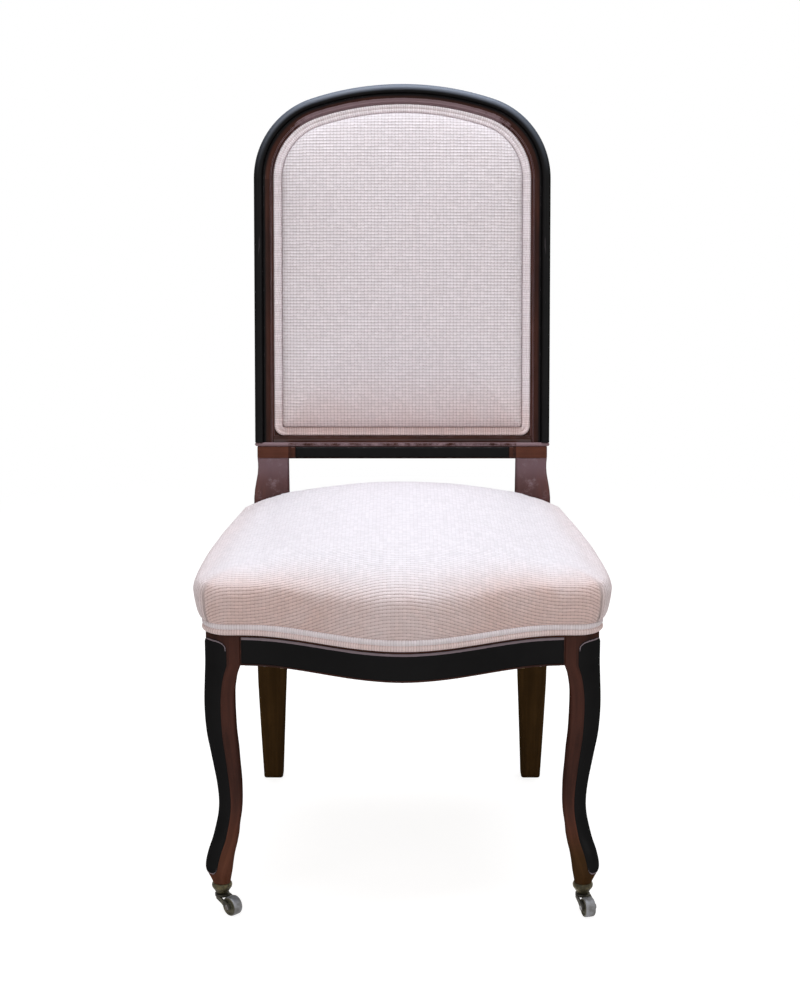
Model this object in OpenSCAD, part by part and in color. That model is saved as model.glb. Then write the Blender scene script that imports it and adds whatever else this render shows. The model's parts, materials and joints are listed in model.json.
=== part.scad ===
// Round-shouldered upholstered side chair with a sprung seat and front casters.
// Millimetres, +Z up. The chair faces -Y and stands on z = 0.
// Inside the modules y is measured back from the front faces of the front legs.

/* [Overall] */
// Height of the chair at the top of the crest rail
overall_h = 980; // [940:5:1030]
// Width across the outer faces of the two front legs
seat_front_w = 472; // [440:2:500]
// Front faces of the front legs to the front faces of the rear stiles
seat_depth = 397; // [370:1:430]

/* [Seat rails] */
// Floor to the underside of the seat rails
rail_bottom_z = 320; // [300:1:350]
// Full height of a seat rail
rail_h = 62; // [56:1:70]
// Height of the show wood left bare under the upholstery
show_h = 38; // [36:1:44]
// Thickness of the front and side rails
rail_t = 24; // [20:1:28]
// How far the middle of the front rail bows forward
front_bow = 65; // [40:1:75]
// Depth of the rebate that the seat cover and its welt sit in
rebate = 5; // [4:0.5:6]
// How far a raised ebonised panel stands out of its rail
panel_rise = 1.5; // [1:0.1:2]
// Bare border above and below a raised panel
panel_border = 2.5; // [2:0.5:7]
// Thickness of a tenon
tenon_t = 9; // [7:0.5:11]
// Length of a tenon
tenon_len = 20; // [14:1:22]
// Clearance round a tenon in its mortise
tenon_gap = 0.2; // [0.1:0.05:0.4]

/* [Front legs] */
// Width of a front leg at the knee
leg_w = 36; // [32:1:40]
// Radius of the seat's rounded front corners
corner_r = 30; // [24:1:34]

/* [Rear stiles] */
// Width of a stile at the seat and up the back
stile_w = 45; // [40:1:50]
// Front to back size of a stile at the seat
stile_d = 40; // [36:1:46]
// Width of the rear foot
rear_foot_w = 27; // [22:1:34]
// Front to back size of the rear foot
rear_foot_d = 28; // [22:1:34]
// How far the rear foot stands behind the stile at the seat
rear_rake = 64; // [30:1:80]

/* [Back frame] */
// Width across the back frame
back_w = 400; // [380:2:420]
// Floor to the lower edge of the back frame
back_bottom_z = 479; // [470:1:520]
// Backward tilt of the back frame in degrees
back_tilt = 9; // [5:0.5:13]
// Front to back size of the moulded frame
frame_d = 30; // [26:1:34]
// Width of the moulding left bare round the upholstery
face_w = 26; // [24:0.5:30]
// Radius of the rounded shoulders
shoulder_r = 112; // [90:1:130]
// Radius of the shallow arch across the top
crest_r = 395; // [330:5:460]
// Width of the ebonised outer bead
bead_w = 12; // [10:0.5:13]
// Diameter of the dowels between crest rail and stiles
dowel_d = 8; // [6:1:10]

/* [Seat upholstery] */
// Height of the crown above the top of the rails
seat_crown = 85; // [60:1:110]
// How far the stuffed edge overhangs the rails
seat_overhang = 13.8; // [8:0.1:20]
// Thickness of the cover cloth with its lining
cover_t = 2; // [1.5:0.1:3]
// Diameter of each cord of the seat's double welt
seat_welt_d = 7.2; // [5:0.1:8]
// Width of a jute web strap
web_w = 50; // [40:1:56]
// Thickness of a jute web strap
web_t = 1.6; // [1.2:0.1:2]
// Diameter of a coil spring at its ends
spring_d = 84; // [70:1:90]
// Diameter of a coil spring at its waist
spring_waist_d = 62; // [50:1:68]
// Diameter of the spring wire
spring_wire_d = 3.8; // [3:0.1:4.5]
// Diameter of the twine that ties the springs down
twine_d = 2; // [1.5:0.1:3]

/* [Back upholstery] */
// How far the back pad stands forward of the lip that it rests on
pad_crown = 36; // [24:1:44]
// Diameter of each cord of the back's double welt
back_welt_d = 5.8; // [4:0.1:6.4]

/* [Casters] */
// Diameter of a caster wheel
wheel_d = 24; // [22:0.5:30]
// Width of a caster wheel
wheel_w = 12.5; // [8:0.5:13]
// Distance from the swivel axis back to the axle
caster_trail = 19; // [17:0.5:21]
// Outer diameter of the brass cup's rim
cup_d = 25; // [23:0.5:28]
// Height of the brass cup
cup_h = 14.5; // [14:0.5:19]
// Direction that the left wheel trails, in degrees from +X
caster_yaw_left = -45; // [-180:1:180]
// Direction that the right wheel trails, in degrees from +X
caster_yaw_right = -74; // [-180:1:180]

/* [Hidden] */

EBONY = [0.05, 0.05, 0.06];
BROWN = [0.26, 0.13, 0.09];
BEECH = [0.62, 0.46, 0.3];
CLOTH = [0.88, 0.82, 0.8];
JUTE = [0.68, 0.55, 0.36];
HAIR = [0.35, 0.28, 0.22];
LINEN = [0.74, 0.66, 0.52];
BRASS = [0.5, 0.45, 0.3];
STEEL = [0.55, 0.55, 0.56];
BLACK_CLOTH = [0.12, 0.12, 0.13];

over = 1;      // overrun of a cut past the face that it opens
touch = 0.05;  // air between hard pieces that lie on each other
soft_gap = 0.3; // air between a soft solid and its neighbour
smooth = 96;   // facets that preview a turned or swept surface

// Places that several pieces share
front_half = seat_front_w / 2;
back_half = back_w / 2;
stile_flare = 2;
stile_out = back_half + stile_flare;
stile_in = back_half - stile_w;
block_w = leg_w * 1.2;
bow_half = front_half - block_w;
rail_top_z = rail_bottom_z + rail_h;
show_top_z = rail_bottom_z + show_h;
rear_inset = 2;
rear_y = seat_depth + stile_d - rear_inset;
rear_rail_t = rail_t - rear_inset;
seat_mid_y = seat_depth / 2;

// The back frame's own axes start at its lower edge on its rear face
back_y = seat_depth + stile_d - 6 * rear_inset / 2;
bead_r = bead_w / 2;
frame_len = (overall_h - back_bottom_z - bead_r - (frame_d - bead_r) * sin(back_tilt)) / cos(back_tilt) + bead_r;
top_centre_drop = sqrt(pow(crest_r - shoulder_r, 2) - pow(back_half - shoulder_r, 2));
arch_rise = crest_r - top_centre_drop;
spring_line = frame_len - arch_rise;
shoulder_angle = atan2(top_centre_drop, back_half - shoulder_r);

// The row's origin lies under the middle of the chair's bounding box
front_share = 0.38; // share of the overhang that is kept along the front
front_most = -front_bow - seat_overhang * front_share;
rear_most = back_y + frame_len * sin(back_tilt);
frame_y = (front_most + rear_most) / 2;

function mix(a, b, t) = a + (b - a) * t;
function flat(lists) = [for (l = lists) each l];
function arc(centre, r, from, to, steps) =
    [for (i = [0 : steps]) centre + r * [cos(mix(from, to, i / steps)), sin(mix(from, to, i / steps))]];
// Mirrors the right half of a closed outline and joins both halves
function both_sides(half) =
    concat(half, [for (i = [len(half) - 2 : -1 : 1]) [-half[i].x, half[i].y]]);

module in_frame() translate([0, -frame_y, 0]) children();
module on_side(side) mirror([side < 0 ? 1 : 0, 0, 0]) children();
module in_back() translate([0, back_y, back_bottom_z]) rotate([-back_tilt, 0, 0]) children();
module block(x, y, z) translate([x[0], y[0], z[0]]) cube([x[1] - x[0], y[1] - y[0], z[1] - z[0]]);

// Seat plan: the front bow, the rounded corners and the tapering sides
function front_y(x) = -front_bow * (1 + cos(180 * min(1, abs(x) / bow_half))) / 2;
function side_x(y) = mix(front_half, stile_out, max(0, (y - block_w) / (seat_depth - block_w)));
bow_steps = 8;
corner_steps = 4;
side_steps = 4;
rear_corner_r = 10;
seat_half = concat(
    [for (i = [0 : bow_steps]) [bow_half * i / bow_steps, front_y(bow_half * i / bow_steps)]],
    arc([front_half - corner_r, corner_r], corner_r, -90, 0, corner_steps),
    [for (i = [0 : side_steps]) let (y = mix(block_w, rear_y - rear_corner_r, i / (side_steps + 1))) [side_x(y), y]],
    arc([side_x(rear_y - rear_corner_r) - rear_corner_r, rear_y - rear_corner_r], rear_corner_r, 0, 90, 2),
    [[stile_in / 2, rear_y], [0, rear_y]]);
seat_outline = both_sides(seat_half);
seat_n = len(seat_outline);
function seat_normal(i) =
    let (d = seat_outline[(i + 1) % seat_n] - seat_outline[(i + seat_n - 1) % seat_n])
    [d.y, -d.x] / norm(d);

// The bottom of the rebate that the seat cover is tucked into
function rebated(i) = seat_outline[i] - seat_normal(i) * rebate;

// Surfaces over a plan outline. A ring is [outset, shrink, height]; a normal is [x, y, share of a bulge kept].
function ring_points(outline, normals, centre, ring) =
    [for (i = [0 : len(outline) - 1])
        let (n = normals[i], out = ring[0] * (ring[0] > 0 ? n.z : 1),
            p = centre + (outline[i] - centre) * ring[1] + [n.x, n.y] * out) [p.x, p.y, ring[2]]];
// Above dome_z the seat rises to the middle and falls to both sides
dome_share = 0.4925;
dome_rise_share = 0.067;
dome_fall_share = 0.42;
dome_far_share = 1.25;
function domed(p) =
    let (rise = p.z - dome_z)
    [p.x, p.y, p.z + max(0, rise) * (dome_rise_share - dome_fall_share * min(dome_far_share, pow(p.x / stile_in, 2)))];
function tri_pair(a, b, c, d, turn) = turn ? [[a, b, c], [a, c, d]] : [[a, c, b], [a, d, c]];
function surface_faces(n, rings, first, turn) =
    flat([for (j = [0 : rings - 2], i = [0 : n - 1])
        let (k = (i + 1) % n, low = first + j * n, high = low + n)
        tri_pair(low + i, high + i, high + k, low + k, turn)]);
function cap_faces(n, ring_start, apex, turn) =
    [for (i = [0 : n - 1])
        let (k = (i + 1) % n) turn ? [ring_start + i, apex, ring_start + k] : [ring_start + i, ring_start + k, apex]];
function rim_faces(n, outer, inner) =
    flat([for (i = [0 : n - 1]) let (k = (i + 1) % n)
        tri_pair(outer + i, outer + k, inner + k, inner + i, true)]);
// A closed solid between an upper and a lower surface that meet in a rim
module between(outline, normals, centre, upper, lower, dome = false) {
    n = len(outline);
    top = flat([for (r = upper) ring_points(outline, normals, centre, r)]);
    bottom = flat([for (r = lower) ring_points(outline, normals, centre, r)]);
    top_apex = [centre.x, centre.y, upper[len(upper) - 1][2]];
    bottom_apex = [centre.x, centre.y, lower[len(lower) - 1][2]];
    second = len(top) + 1;
    points = concat(top, [top_apex], bottom, [bottom_apex]);
    polyhedron(
        points = dome ? [for (p = points) domed(p)] : points,
        faces = concat(
            surface_faces(n, len(upper), 0, true),
            cap_faces(n, len(top) - n, len(top), true),
            surface_faces(n, len(lower), second, false),
            cap_faces(n, second + len(bottom) - n, second + len(bottom), false),
            rim_faces(n, 0, second)));
}
// Moves a profile of rings inward by a thickness, square to its slope
function thinner(rings, t, reach) =
    [for (j = [0 : len(rings) - 1])
        let (a = rings[max(0, j - 1)], b = rings[min(len(rings) - 1, j + 1)],
            run = (b[0] - a[0]) + (b[1] - a[1]) * reach, rise = b[2] - a[2], size = norm([run, rise]))
        [rings[j][0] - t * rise / size, rings[j][1], rings[j][2] - (j == 0 ? 0 : t * -run / size)]];
// A round tube along points; its rings stand square to the run
module tube(path, d, sides, closed = false) {
    n = len(path);
    function heading(i) =
        let (a = path[closed ? (i + n - 1) % n : max(0, i - 1)], b = path[closed ? (i + 1) % n : min(n - 1, i + 1)])
        (b - a) / norm(b - a);
    function ring(i) =
        let (h = heading(i), s = cross(h, [0, 0, 1]), side = s / norm(s), up = cross(side, h))
        [for (k = [0 : sides - 1]) path[i] + d / 2 * (side * cos(360 * k / sides) + up * sin(360 * k / sides))];
    runs = closed ? n : n - 1;
    polyhedron(
        points = flat([for (i = [0 : n - 1]) ring(i)]),
        faces = concat(
            flat([for (i = [0 : runs - 1], k = [0 : sides - 1])
                let (j = (i + 1) % n, m = (k + 1) % sides)
                tri_pair(i * sides + k, j * sides + k, j * sides + m, i * sides + m, true)]),
            closed ? [] : [[for (k = [0 : sides - 1]) k], [for (k = [sides - 1 : -1 : 0]) (n - 1) * sides + k]]));
}

// Tenons and the mortises that take them
tenon_low_share = 0.12;
tenon_high_share = 0.78;
tenon_z = [rail_bottom_z + rail_h * tenon_low_share, rail_bottom_z + rail_h * tenon_high_share];
// The tenons of the front and side rails lie midway between the rebate and the rail's inner face
side_tenon_in = (rebate + rail_t - tenon_t) / 2;
front_tenon_y = [side_tenon_in, side_tenon_in + tenon_t];
rear_tenon_y = [rear_y - rear_rail_t / 2 - tenon_t / 2, rear_y - rear_rail_t / 2 + tenon_t / 2];
module tenon_front(gap = 0)
    block([bow_half - (gap > 0 ? over : 0), bow_half + tenon_len + gap],
        front_tenon_y + [-gap, gap], tenon_z + [-gap, gap]);
module tenon_rear(gap = 0)
    block([stile_in - (gap > 0 ? over : 0), stile_in + tenon_len + gap],
        rear_tenon_y + [-gap, gap], tenon_z + [-gap, gap]);
// A plan strip that follows the side rail, between two insets from its outer face
module side_strip(inset, y, z)
    translate([0, 0, z[0]]) linear_extrude(height = z[1] - z[0])
        polygon([[side_line(y[0]) - inset[0], y[0]], [side_line(y[1]) - inset[0], y[1]],
            [side_line(y[1]) - inset[1], y[1]], [side_line(y[0]) - inset[1], y[0]]]);
function side_line(y) = mix(front_half, stile_out, (y - block_w) / (seat_depth - block_w));
module tenon_side(y, gap = 0)
    side_strip([side_tenon_in - gap, side_tenon_in + tenon_t + gap], y, tenon_z + [-gap, gap]);

// Raised panels: their bevel, the thickness of their edge, and the border bare at each end
panel_bevel = 1.4;
panel_foot = 0.5;
panel_end = panel_border / 2;

// Front legs. A row is [share of the height, outer inset, width, outer and other corner radii],
// where the inset and width are shares of leg_w and the radii are shares of the width.
leg_shares = [
    [0.000, 0.114, 0.580, 0.49, 0.47], [0.026, 0.030, 0.700, 0.49, 0.42], [0.054, -0.060, 0.830, 0.49, 0.36],
    [0.093, -0.090, 0.900, 0.50, 0.28], [0.149, 0.000, 0.890, 0.53, 0.21], [0.199, 0.139, 0.847, 0.56, 0.18],
    [0.249, 0.242, 0.786, 0.58, 0.16], [0.298, 0.324, 0.764, 0.58, 0.15], [0.340, 0.358, 0.757, 0.58, 0.15],
    [0.383, 0.355, 0.768, 0.58, 0.15], [0.457, 0.298, 0.815, 0.58, 0.14], [0.528, 0.212, 0.862, 0.59, 0.13],
    [0.601, 0.120, 0.920, 0.60, 0.12], [0.672, 0.030, 0.960, 0.61, 0.11], [0.746, -0.020, 0.985, 0.62, 0.10],
    [0.817, -0.036, 0.990, 0.62, 0.09], [0.869, -0.028, 0.990, 0.63, 0.08], [0.922, -0.012, 1.035, 0.64, 0.08],
    [0.958, -0.004, 1.090, 0.66, 0.07], [0.982, 0.000, 1.150, 0.68, 0.06], [1.000, 0.000, 1.200, 0.69, 0.05]];
leg_outer_steps = 8;
leg_other_steps = 3;
wheel_r = wheel_d / 2;
horn_plate_t = 3;
horn_t = 2.2;
horn_gap = 0.5;
horn_r = wheel_w / 2 + horn_gap + horn_t;
wheel_gap = 1.2;
swivel_gap = 0.4;
horn_plate_z = wheel_r + sqrt(pow(wheel_r, 2) - pow(caster_trail - horn_r, 2)) + wheel_gap;
cup_z = horn_plate_z + horn_plate_t + swivel_gap;
foot_z = cup_z + cup_h;
foot_share = (leg_shares[0][1] + leg_shares[0][2] / 2);
caster_in = leg_w * foot_share;
cup_floor = 4;
spigot_r = 7;
stem_d = 6;
stem_len = 52;
function leg_ring(inset, w, outer_r, other_r, z) =
    let (x1 = front_half - inset, x0 = x1 - w, y0 = inset, y1 = inset + w)
    [for (p = concat(
        arc([x1 - outer_r, y0 + outer_r], outer_r, -90, 0, leg_outer_steps),
        arc([x1 - other_r, y1 - other_r], other_r, 0, 90, leg_other_steps),
        arc([x0 + other_r, y1 - other_r], other_r, 90, 180, leg_other_steps),
        arc([x0 + other_r, y0 + other_r], other_r, 180, 270, leg_other_steps))) [p.x, p.y, z]];
inner_corner_r = 2;
leg_rings = concat(
    [for (s = leg_shares)
        leg_ring(leg_w * s[1], leg_w * s[2], leg_w * s[2] * s[3], leg_w * s[2] * s[4], mix(foot_z, rail_bottom_z, s[0]))],
    [leg_ring(0, block_w, corner_r, inner_corner_r, show_top_z)]);
module front_leg() {
    n = len(leg_rings[0]);
    m = len(leg_rings);
    color(EBONY) difference() {
        union() {
            polyhedron(
                points = flat(leg_rings),
                faces = concat(
                    surface_faces(n, m, 0, true),
                    [[for (i = [0 : n - 1]) i], [for (i = [n - 1 : -1 : 0]) (m - 1) * n + i]]));
            translate([0, 0, show_top_z]) linear_extrude(height = rail_top_z - show_top_z)
                polygon(concat(
                    [for (i = [bow_steps + 1 : bow_steps + 1 + corner_steps]) rebated(i)],
                    [[front_half - rebate, block_w], [bow_half, block_w], [bow_half, rebate]]));
            translate([front_half - caster_in, caster_in, cup_z + cup_floor])
                cylinder(r = spigot_r, h = foot_z - cup_z - cup_floor + over, $fn = smooth);
        }
        translate([front_half - caster_in, caster_in, cup_z])
            cylinder(d = stem_d + 2 * touch, h = stem_len, $fn = smooth);
        tenon_front(tenon_gap);
        tenon_side([block_w - tenon_len - tenon_gap, block_w + over], tenon_gap);
    }
}

// The ebonised panel on a front leg follows the outer corner. Its ends are rounded.
leg_panel_edge = 6; // degrees left bare beside each end of the corner's arc
leg_panel_z = [foot_z + leg_w * 0.42, show_top_z - 7];
leg_panel_round = leg_w / 3;
leg_panel_step = 0.4;
leg_panel_cols = 8;
leg_panel_lift = 0.25;
function leg_share(z, k) = lookup((z - foot_z) / (rail_bottom_z - foot_z), [for (s = leg_shares) [s[0], s[k]]]);
function leg_corner(a, z, lift) =
    let (inset = leg_w * leg_share(z, 1), w = leg_w * leg_share(z, 2), r = w * leg_share(z, 3),
        q = mix(r, corner_r, max(0, min(1, (z - rail_bottom_z) / (show_top_z - rail_bottom_z)))))
    [front_half - inset - q + (q + lift) * cos(a), inset + q + (q + lift) * sin(a), z];
// The panel's rows lie at the heights of the leg's own rows, pressed together where its ends are rounded
leg_panel_levels = concat([leg_panel_z[0]],
    [for (s = leg_shares) let (z = mix(foot_z, rail_bottom_z, s[0])) if (z > leg_panel_z[0] + 2 * panel_bevel) z],
    [mix(rail_bottom_z, leg_panel_z[1], 0.4), mix(rail_bottom_z, leg_panel_z[1], 0.7), leg_panel_z[1] - panel_bevel,
     leg_panel_z[1]]);
function leg_panel_point(u, i, lift) =
    let (fall = leg_panel_round * (1 - sqrt(1 - pow(abs(2 * u - 1), 3))), last = len(leg_panel_levels) - 1,
        low = leg_panel_z[0] + fall + (i == 0 ? 0 : panel_bevel + i * leg_panel_step),
        high = leg_panel_z[1] - fall - (i == last ? 0 : panel_bevel + (last - i) * leg_panel_step))
    leg_corner(mix(leg_panel_edge - 90, -leg_panel_edge, u), min(max(leg_panel_levels[i], low), high), lift);
module leg_panel() {
    across = [for (j = [0 : leg_panel_cols]) j / leg_panel_cols];
    n = len(across);
    m = len(leg_panel_levels);
    function edge(i, j) = i == 0 || i == m - 1 || j == 0 || j == n - 1;
    outer = [for (i = [0 : m - 1], j = [0 : n - 1])
        leg_panel_point(across[j], i, edge(i, j) ? panel_foot : panel_rise)];
    inner = [for (i = [0 : m - 1], j = [0 : n - 1]) leg_panel_point(across[j], i, leg_panel_lift)];
    rim = concat([for (j = [0 : n - 1]) j], [for (i = [1 : m - 1]) i * n + n - 1],
        [for (j = [n - 2 : -1 : 0]) (m - 1) * n + j], [for (i = [m - 2 : -1 : 1]) i * n]);
    color(EBONY) polyhedron(
        points = concat(outer, inner),
        faces = concat(
            flat([for (i = [0 : m - 2], j = [0 : n - 2]) let (a = i * n + j)
                tri_pair(a, a + n, a + n + 1, a + 1, true)]),
            flat([for (i = [0 : m - 2], j = [0 : n - 2]) let (a = m * n + i * n + j)
                tri_pair(a, a + n, a + n + 1, a + 1, false)]),
            flat([for (k = [0 : len(rim) - 1]) let (a = rim[k], b = rim[(k + 1) % len(rim)])
                tri_pair(a, b, m * n + b, m * n + a, true)])));
}

// Rails. The curved rail keeps the seat plan's front curve.
rail_steps = 40;
function bow_line(x0, x1, shift) =
    [for (i = [0 : rail_steps]) let (x = mix(x0, x1, i / rail_steps)) [x, front_y(x) + shift]];
function reversed(l) = [for (i = [len(l) - 1 : -1 : 0]) l[i]];
module bow_strip(half, shift, z)
    translate([0, 0, z[0]]) linear_extrude(height = z[1] - z[0])
        polygon(concat(bow_line(-half, half, shift[0]), reversed(bow_line(-half, half, shift[1]))));
module rebated_strip(z) {
    half = concat([[0, rebate - front_bow]], [for (i = [1 : bow_steps - 1]) rebated(i)], [[bow_half, rebate]]);
    translate([0, 0, z[0]]) linear_extrude(height = z[1] - z[0])
        polygon(concat(reversed([for (p = half) if (p.x > 0) [-p.x, p.y]]), half, reversed(bow_line(-bow_half, bow_half, rail_t))));
}
panel_z = [rail_bottom_z + panel_border, show_top_z - panel_border];
// A bevelled strip laid on a face, along a plan path whose outside is to its right
module raised_strip(path, z) {
    n = len(path);
    function outward(i) =
        let (d = path[min(n - 1, i + 1)] - path[max(0, i - 1)]) [d.y, -d.x] / norm(d);
    function section(i) =
        let (out = outward(i), thick = i == 0 || i == n - 1 ? panel_foot : panel_rise)
        [for (c = [[touch, z[0]], [panel_foot, z[0]], [thick, z[0] + panel_bevel], [thick, z[1] - panel_bevel],
            [panel_foot, z[1]], [touch, z[1]]])
            let (p = path[i] + out * c[0]) [p.x, p.y, c[1]]];
    polyhedron(
        points = flat([for (i = [0 : n - 1]) section(i)]),
        faces = concat(
            flat([for (i = [0 : n - 2], k = [0 : 5])
                let (m = (k + 1) % 6) tri_pair(6 * i + k, 6 * i + 6 + k, 6 * i + 6 + m, 6 * i + m, true)]),
            [[for (k = [0 : 5]) k], [for (k = [5 : -1 : 0]) 6 * (n - 1) + k]]));
}
// A path gets one more point a bevel's width inside each end
function with_bevels(path) =
    let (n = len(path), a = path[1] - path[0], b = path[n - 2] - path[n - 1])
    concat([path[0], path[0] + a / norm(a) * panel_bevel], [for (i = [1 : 1 : n - 2]) path[i]],
        [path[n - 1] + b / norm(b) * panel_bevel, path[n - 1]]);
rail_front = bow_line(-bow_half, bow_half, 0);
rail_step = 2 * bow_half / rail_steps;
front_panel_path = concat([mix(rail_front[0], rail_front[1], panel_end / rail_step)],
    [for (i = [1 : rail_steps - 1]) rail_front[i]],
    [mix(rail_front[rail_steps], rail_front[rail_steps - 1], panel_end / rail_step)]);
module front_panel() color(EBONY) raised_strip(with_bevels(front_panel_path), panel_z);
module side_panel() color(EBONY) raised_strip(with_bevels(
    [for (y = [block_w + panel_end, seat_depth - panel_end]) [side_line(y), y]]), panel_z);
module front_rail() color(EBONY) difference() {
    union() {
        bow_strip(bow_half, [0, rail_t], [rail_bottom_z, show_top_z]);
        rebated_strip([show_top_z, rail_top_z]);
        tenon_front();
        mirror([1, 0, 0]) tenon_front();
    }
    screw_holes();
}
module side_rail() color(EBONY) difference() {
    union() {
        side_strip([0, rail_t], [block_w, seat_depth], [rail_bottom_z, show_top_z]);
        side_strip([rebate, rail_t], [block_w, seat_depth], [show_top_z, rail_top_z]);
        tenon_side([block_w - tenon_len, block_w + over]);
        tenon_side([seat_depth - over, seat_depth + tenon_len]);
    }
    screw_holes();
}
module rear_rail() color(BROWN) difference() {
    union() {
        block([-stile_in, stile_in], [rear_y - rear_rail_t, rear_y], [rail_bottom_z, show_top_z]);
        block([-stile_in, stile_in], [rear_y - rear_rail_t, rear_y - rebate], [show_top_z, rail_top_z]);
        tenon_rear();
        mirror([1, 0, 0]) tenon_rear();
    }
    screw_holes();
}

// Corner blocks and their screws. A screw is [head point, direction].
brace_steps = 6; // of the front rail's own steps
brace_len = brace_steps * rail_step;
brace_z = [rail_bottom_z + rail_h * 0.16, rail_bottom_z + rail_h * 0.72];
brace_mid_z = (brace_z[0] + brace_z[1]) / 2;
screw_d = 4;
screw_len = 42;
head_d = 8;
head_t = 2.5;
front_brace = concat(
    [for (i = [brace_steps : -1 : 1]) let (x = bow_half - i * rail_step) [x, front_y(x) + rail_t + touch]],
    [[bow_half - touch, rail_t + touch], [bow_half - touch, block_w + touch], [side_line(block_w) - rail_t - touch, block_w + touch],
     [side_line(block_w + brace_len) - rail_t - touch, block_w + brace_len]]);
rear_brace = [[stile_in - brace_len, rear_y - rear_rail_t - touch], [stile_in - touch, rear_y - rear_rail_t - touch],
    [stile_in - touch, seat_depth - touch], [side_line(seat_depth) - rail_t - touch, seat_depth - touch],
    [side_line(seat_depth - brace_len) - rail_t - touch, seat_depth - brace_len]];
screw_share = 0.52;
front_screws = [
    [[bow_half - brace_len * screw_share, front_y(bow_half - brace_len * screw_share) + rail_t / 2 + screw_len - head_t],
        [0, -1]],
    [[side_line(block_w + brace_len * screw_share) - rail_t / 2 - screw_len + head_t, block_w + brace_len * screw_share],
        [1, 0]]];
rear_screws = [
    [[stile_in - brace_len * screw_share, rear_y - rear_rail_t / 2 - screw_len + head_t], [0, 1]],
    [[side_line(seat_depth - brace_len * screw_share) - rail_t / 2 - screw_len + head_t,
        seat_depth - brace_len * screw_share], [1, 0]]];
module along(screw)
    translate([screw[0].x, screw[0].y, brace_mid_z]) rotate([0, 90, atan2(screw[1].y, screw[1].x)]) children();
module screw_hole(screw) along(screw) {
    cylinder(d = screw_d + 2 * touch, h = screw_len + touch, $fn = smooth / 4);
    translate([0, 0, head_t - brace_len]) cylinder(d = head_d + 4 * touch, h = brace_len, $fn = smooth / 4);
}
module screw_holes()
    for (side = [-1, 1]) on_side(side)
        for (s = concat(front_screws, rear_screws)) screw_hole(s);
module brace(outline) color(BEECH) difference() {
    translate([0, 0, brace_z[0]]) linear_extrude(height = brace_z[1] - brace_z[0]) polygon(outline);
    screw_holes();
}
module screws() color(STEEL)
    for (side = [-1, 1]) on_side(side)
        for (s = concat(front_screws, rear_screws)) along(s) {
            cylinder(d = head_d, h = head_t - touch, $fn = smooth / 4);
            cylinder(d = screw_d, h = screw_len - touch, $fn = smooth / 4);
        }

// Back frame moulding: points are [distance in from the outer edge, height above the rear face]
quirk_w = 1;
quirk_drop = 6;
cove_top_drop = 4.5;
cove_bottom_drop = 8.5;
fillet_w = 2;
fillet_drop = 7.3;
edge_drop = 9.5;
lip_front = 10;
lip_rear = 4;
rear_border = 29;
cove_steps = 4;
cove_end = face_w - 2.5 - fillet_w;
cove = [for (i = [0 : cove_steps]) let (t = i / cove_steps)
    [mix(bead_w + quirk_w, cove_end, t), frame_d - mix(cove_top_drop, cove_bottom_drop, 1 - pow(1 - t, 2))]];
moulding = concat(
    [[0, 0]],
    arc([bead_r, frame_d - bead_r], bead_r, 180, 20, 8),
    [[bead_w, frame_d - quirk_drop], [bead_w + quirk_w, frame_d - quirk_drop]],
    cove,
    [[cove_end, frame_d - fillet_drop], [cove_end + fillet_w, frame_d - fillet_drop],
     [cove_end + fillet_w, frame_d - edge_drop], [face_w, frame_d - edge_drop],
     [face_w, lip_front], [stile_w, lip_front], [stile_w, lip_rear], [rear_border, lip_rear], [rear_border, 0]]);
// Half of the arch: a shoulder arc and half of the crest arc, joined on the plane that both start from
trim = 1;
module half_arch(section) intersection() {
    translate([back_half - shoulder_r, 0, spring_line]) rotate([90, 0, 0]) rotate([0, 0, shoulder_angle]) {
        mirror([0, 1, 0]) rotate_extrude(angle = shoulder_angle + trim, $fn = smooth)
            polygon([for (p = section) [shoulder_r - p[0], p[1]]]);
        translate([shoulder_r - crest_r, 0, 0]) rotate_extrude(angle = 90 - shoulder_angle + trim, $fn = smooth * 4)
            polygon([for (p = section) [crest_r - p[0], p[1]]]);
    }
    block([0, back_w], [-back_w, back_w], [spring_line, overall_h]);
}
module arch(section) {
    half_arch(section);
    mirror([1, 0, 0]) half_arch(section);
}
module upright(section, z)
    translate([0, 0, z[0]]) linear_extrude(height = z[1] - z[0])
        polygon([for (p = section) [back_half - p[0], -p[1]]]);

// Lower edge of the back: a plain block on each stile, a raised fillet and a cove above it
base_h = 17;
base_inset = 3;
base_face = frame_d - 4;
ridge_h = 5;
ridge_face = frame_d - 2.5;
ridge_top = base_h + ridge_h;
lower_face_h = 31;
rear_low = rear_border + lower_face_h - face_w - fillet_w;
lower_cove = [for (i = [0 : cove_steps]) let (t = i / cove_steps)
    [mix(ridge_top, lower_face_h - fillet_w, t), frame_d - mix(cove_top_drop, cove_bottom_drop, 1 - pow(1 - t, 2))]];
lower_band = concat([[base_h, ridge_face], [ridge_top, ridge_face]], lower_cove,
    [[lower_face_h - fillet_w, frame_d - edge_drop], [lower_face_h, frame_d - edge_drop], [lower_face_h, lip_front],
     [stile_w, lip_front], [stile_w, lip_rear], [rear_low, lip_rear], [rear_low, 0]]);
lower_section = concat([[0, 0], [0, base_face], [base_h, base_face]], lower_band);
module across(section, x)
    translate([x[0], 0, 0]) rotate([90, 0, 90]) linear_extrude(height = x[1] - x[0])
        polygon([for (p = section) [-p[1], p[0]]]);
stile_section = concat([[base_h, 0]], lower_band);
back_tenon_z = [5, rear_border - 4];
back_tenon_face = [2, 9];
module back_tenon(gap = 0)
    block([stile_in - (gap > 0 ? over : 0), stile_in + tenon_len / 2 + gap],
        [-back_tenon_face[1] - gap, -back_tenon_face[0] + gap], back_tenon_z + [-gap, gap]);
module back_lower_rail() in_back() color(EBONY) {
    across(lower_section, [-stile_in, stile_in]);
    back_tenon();
    mirror([1, 0, 0]) back_tenon();
}
back_panel_end = 8;
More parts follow.
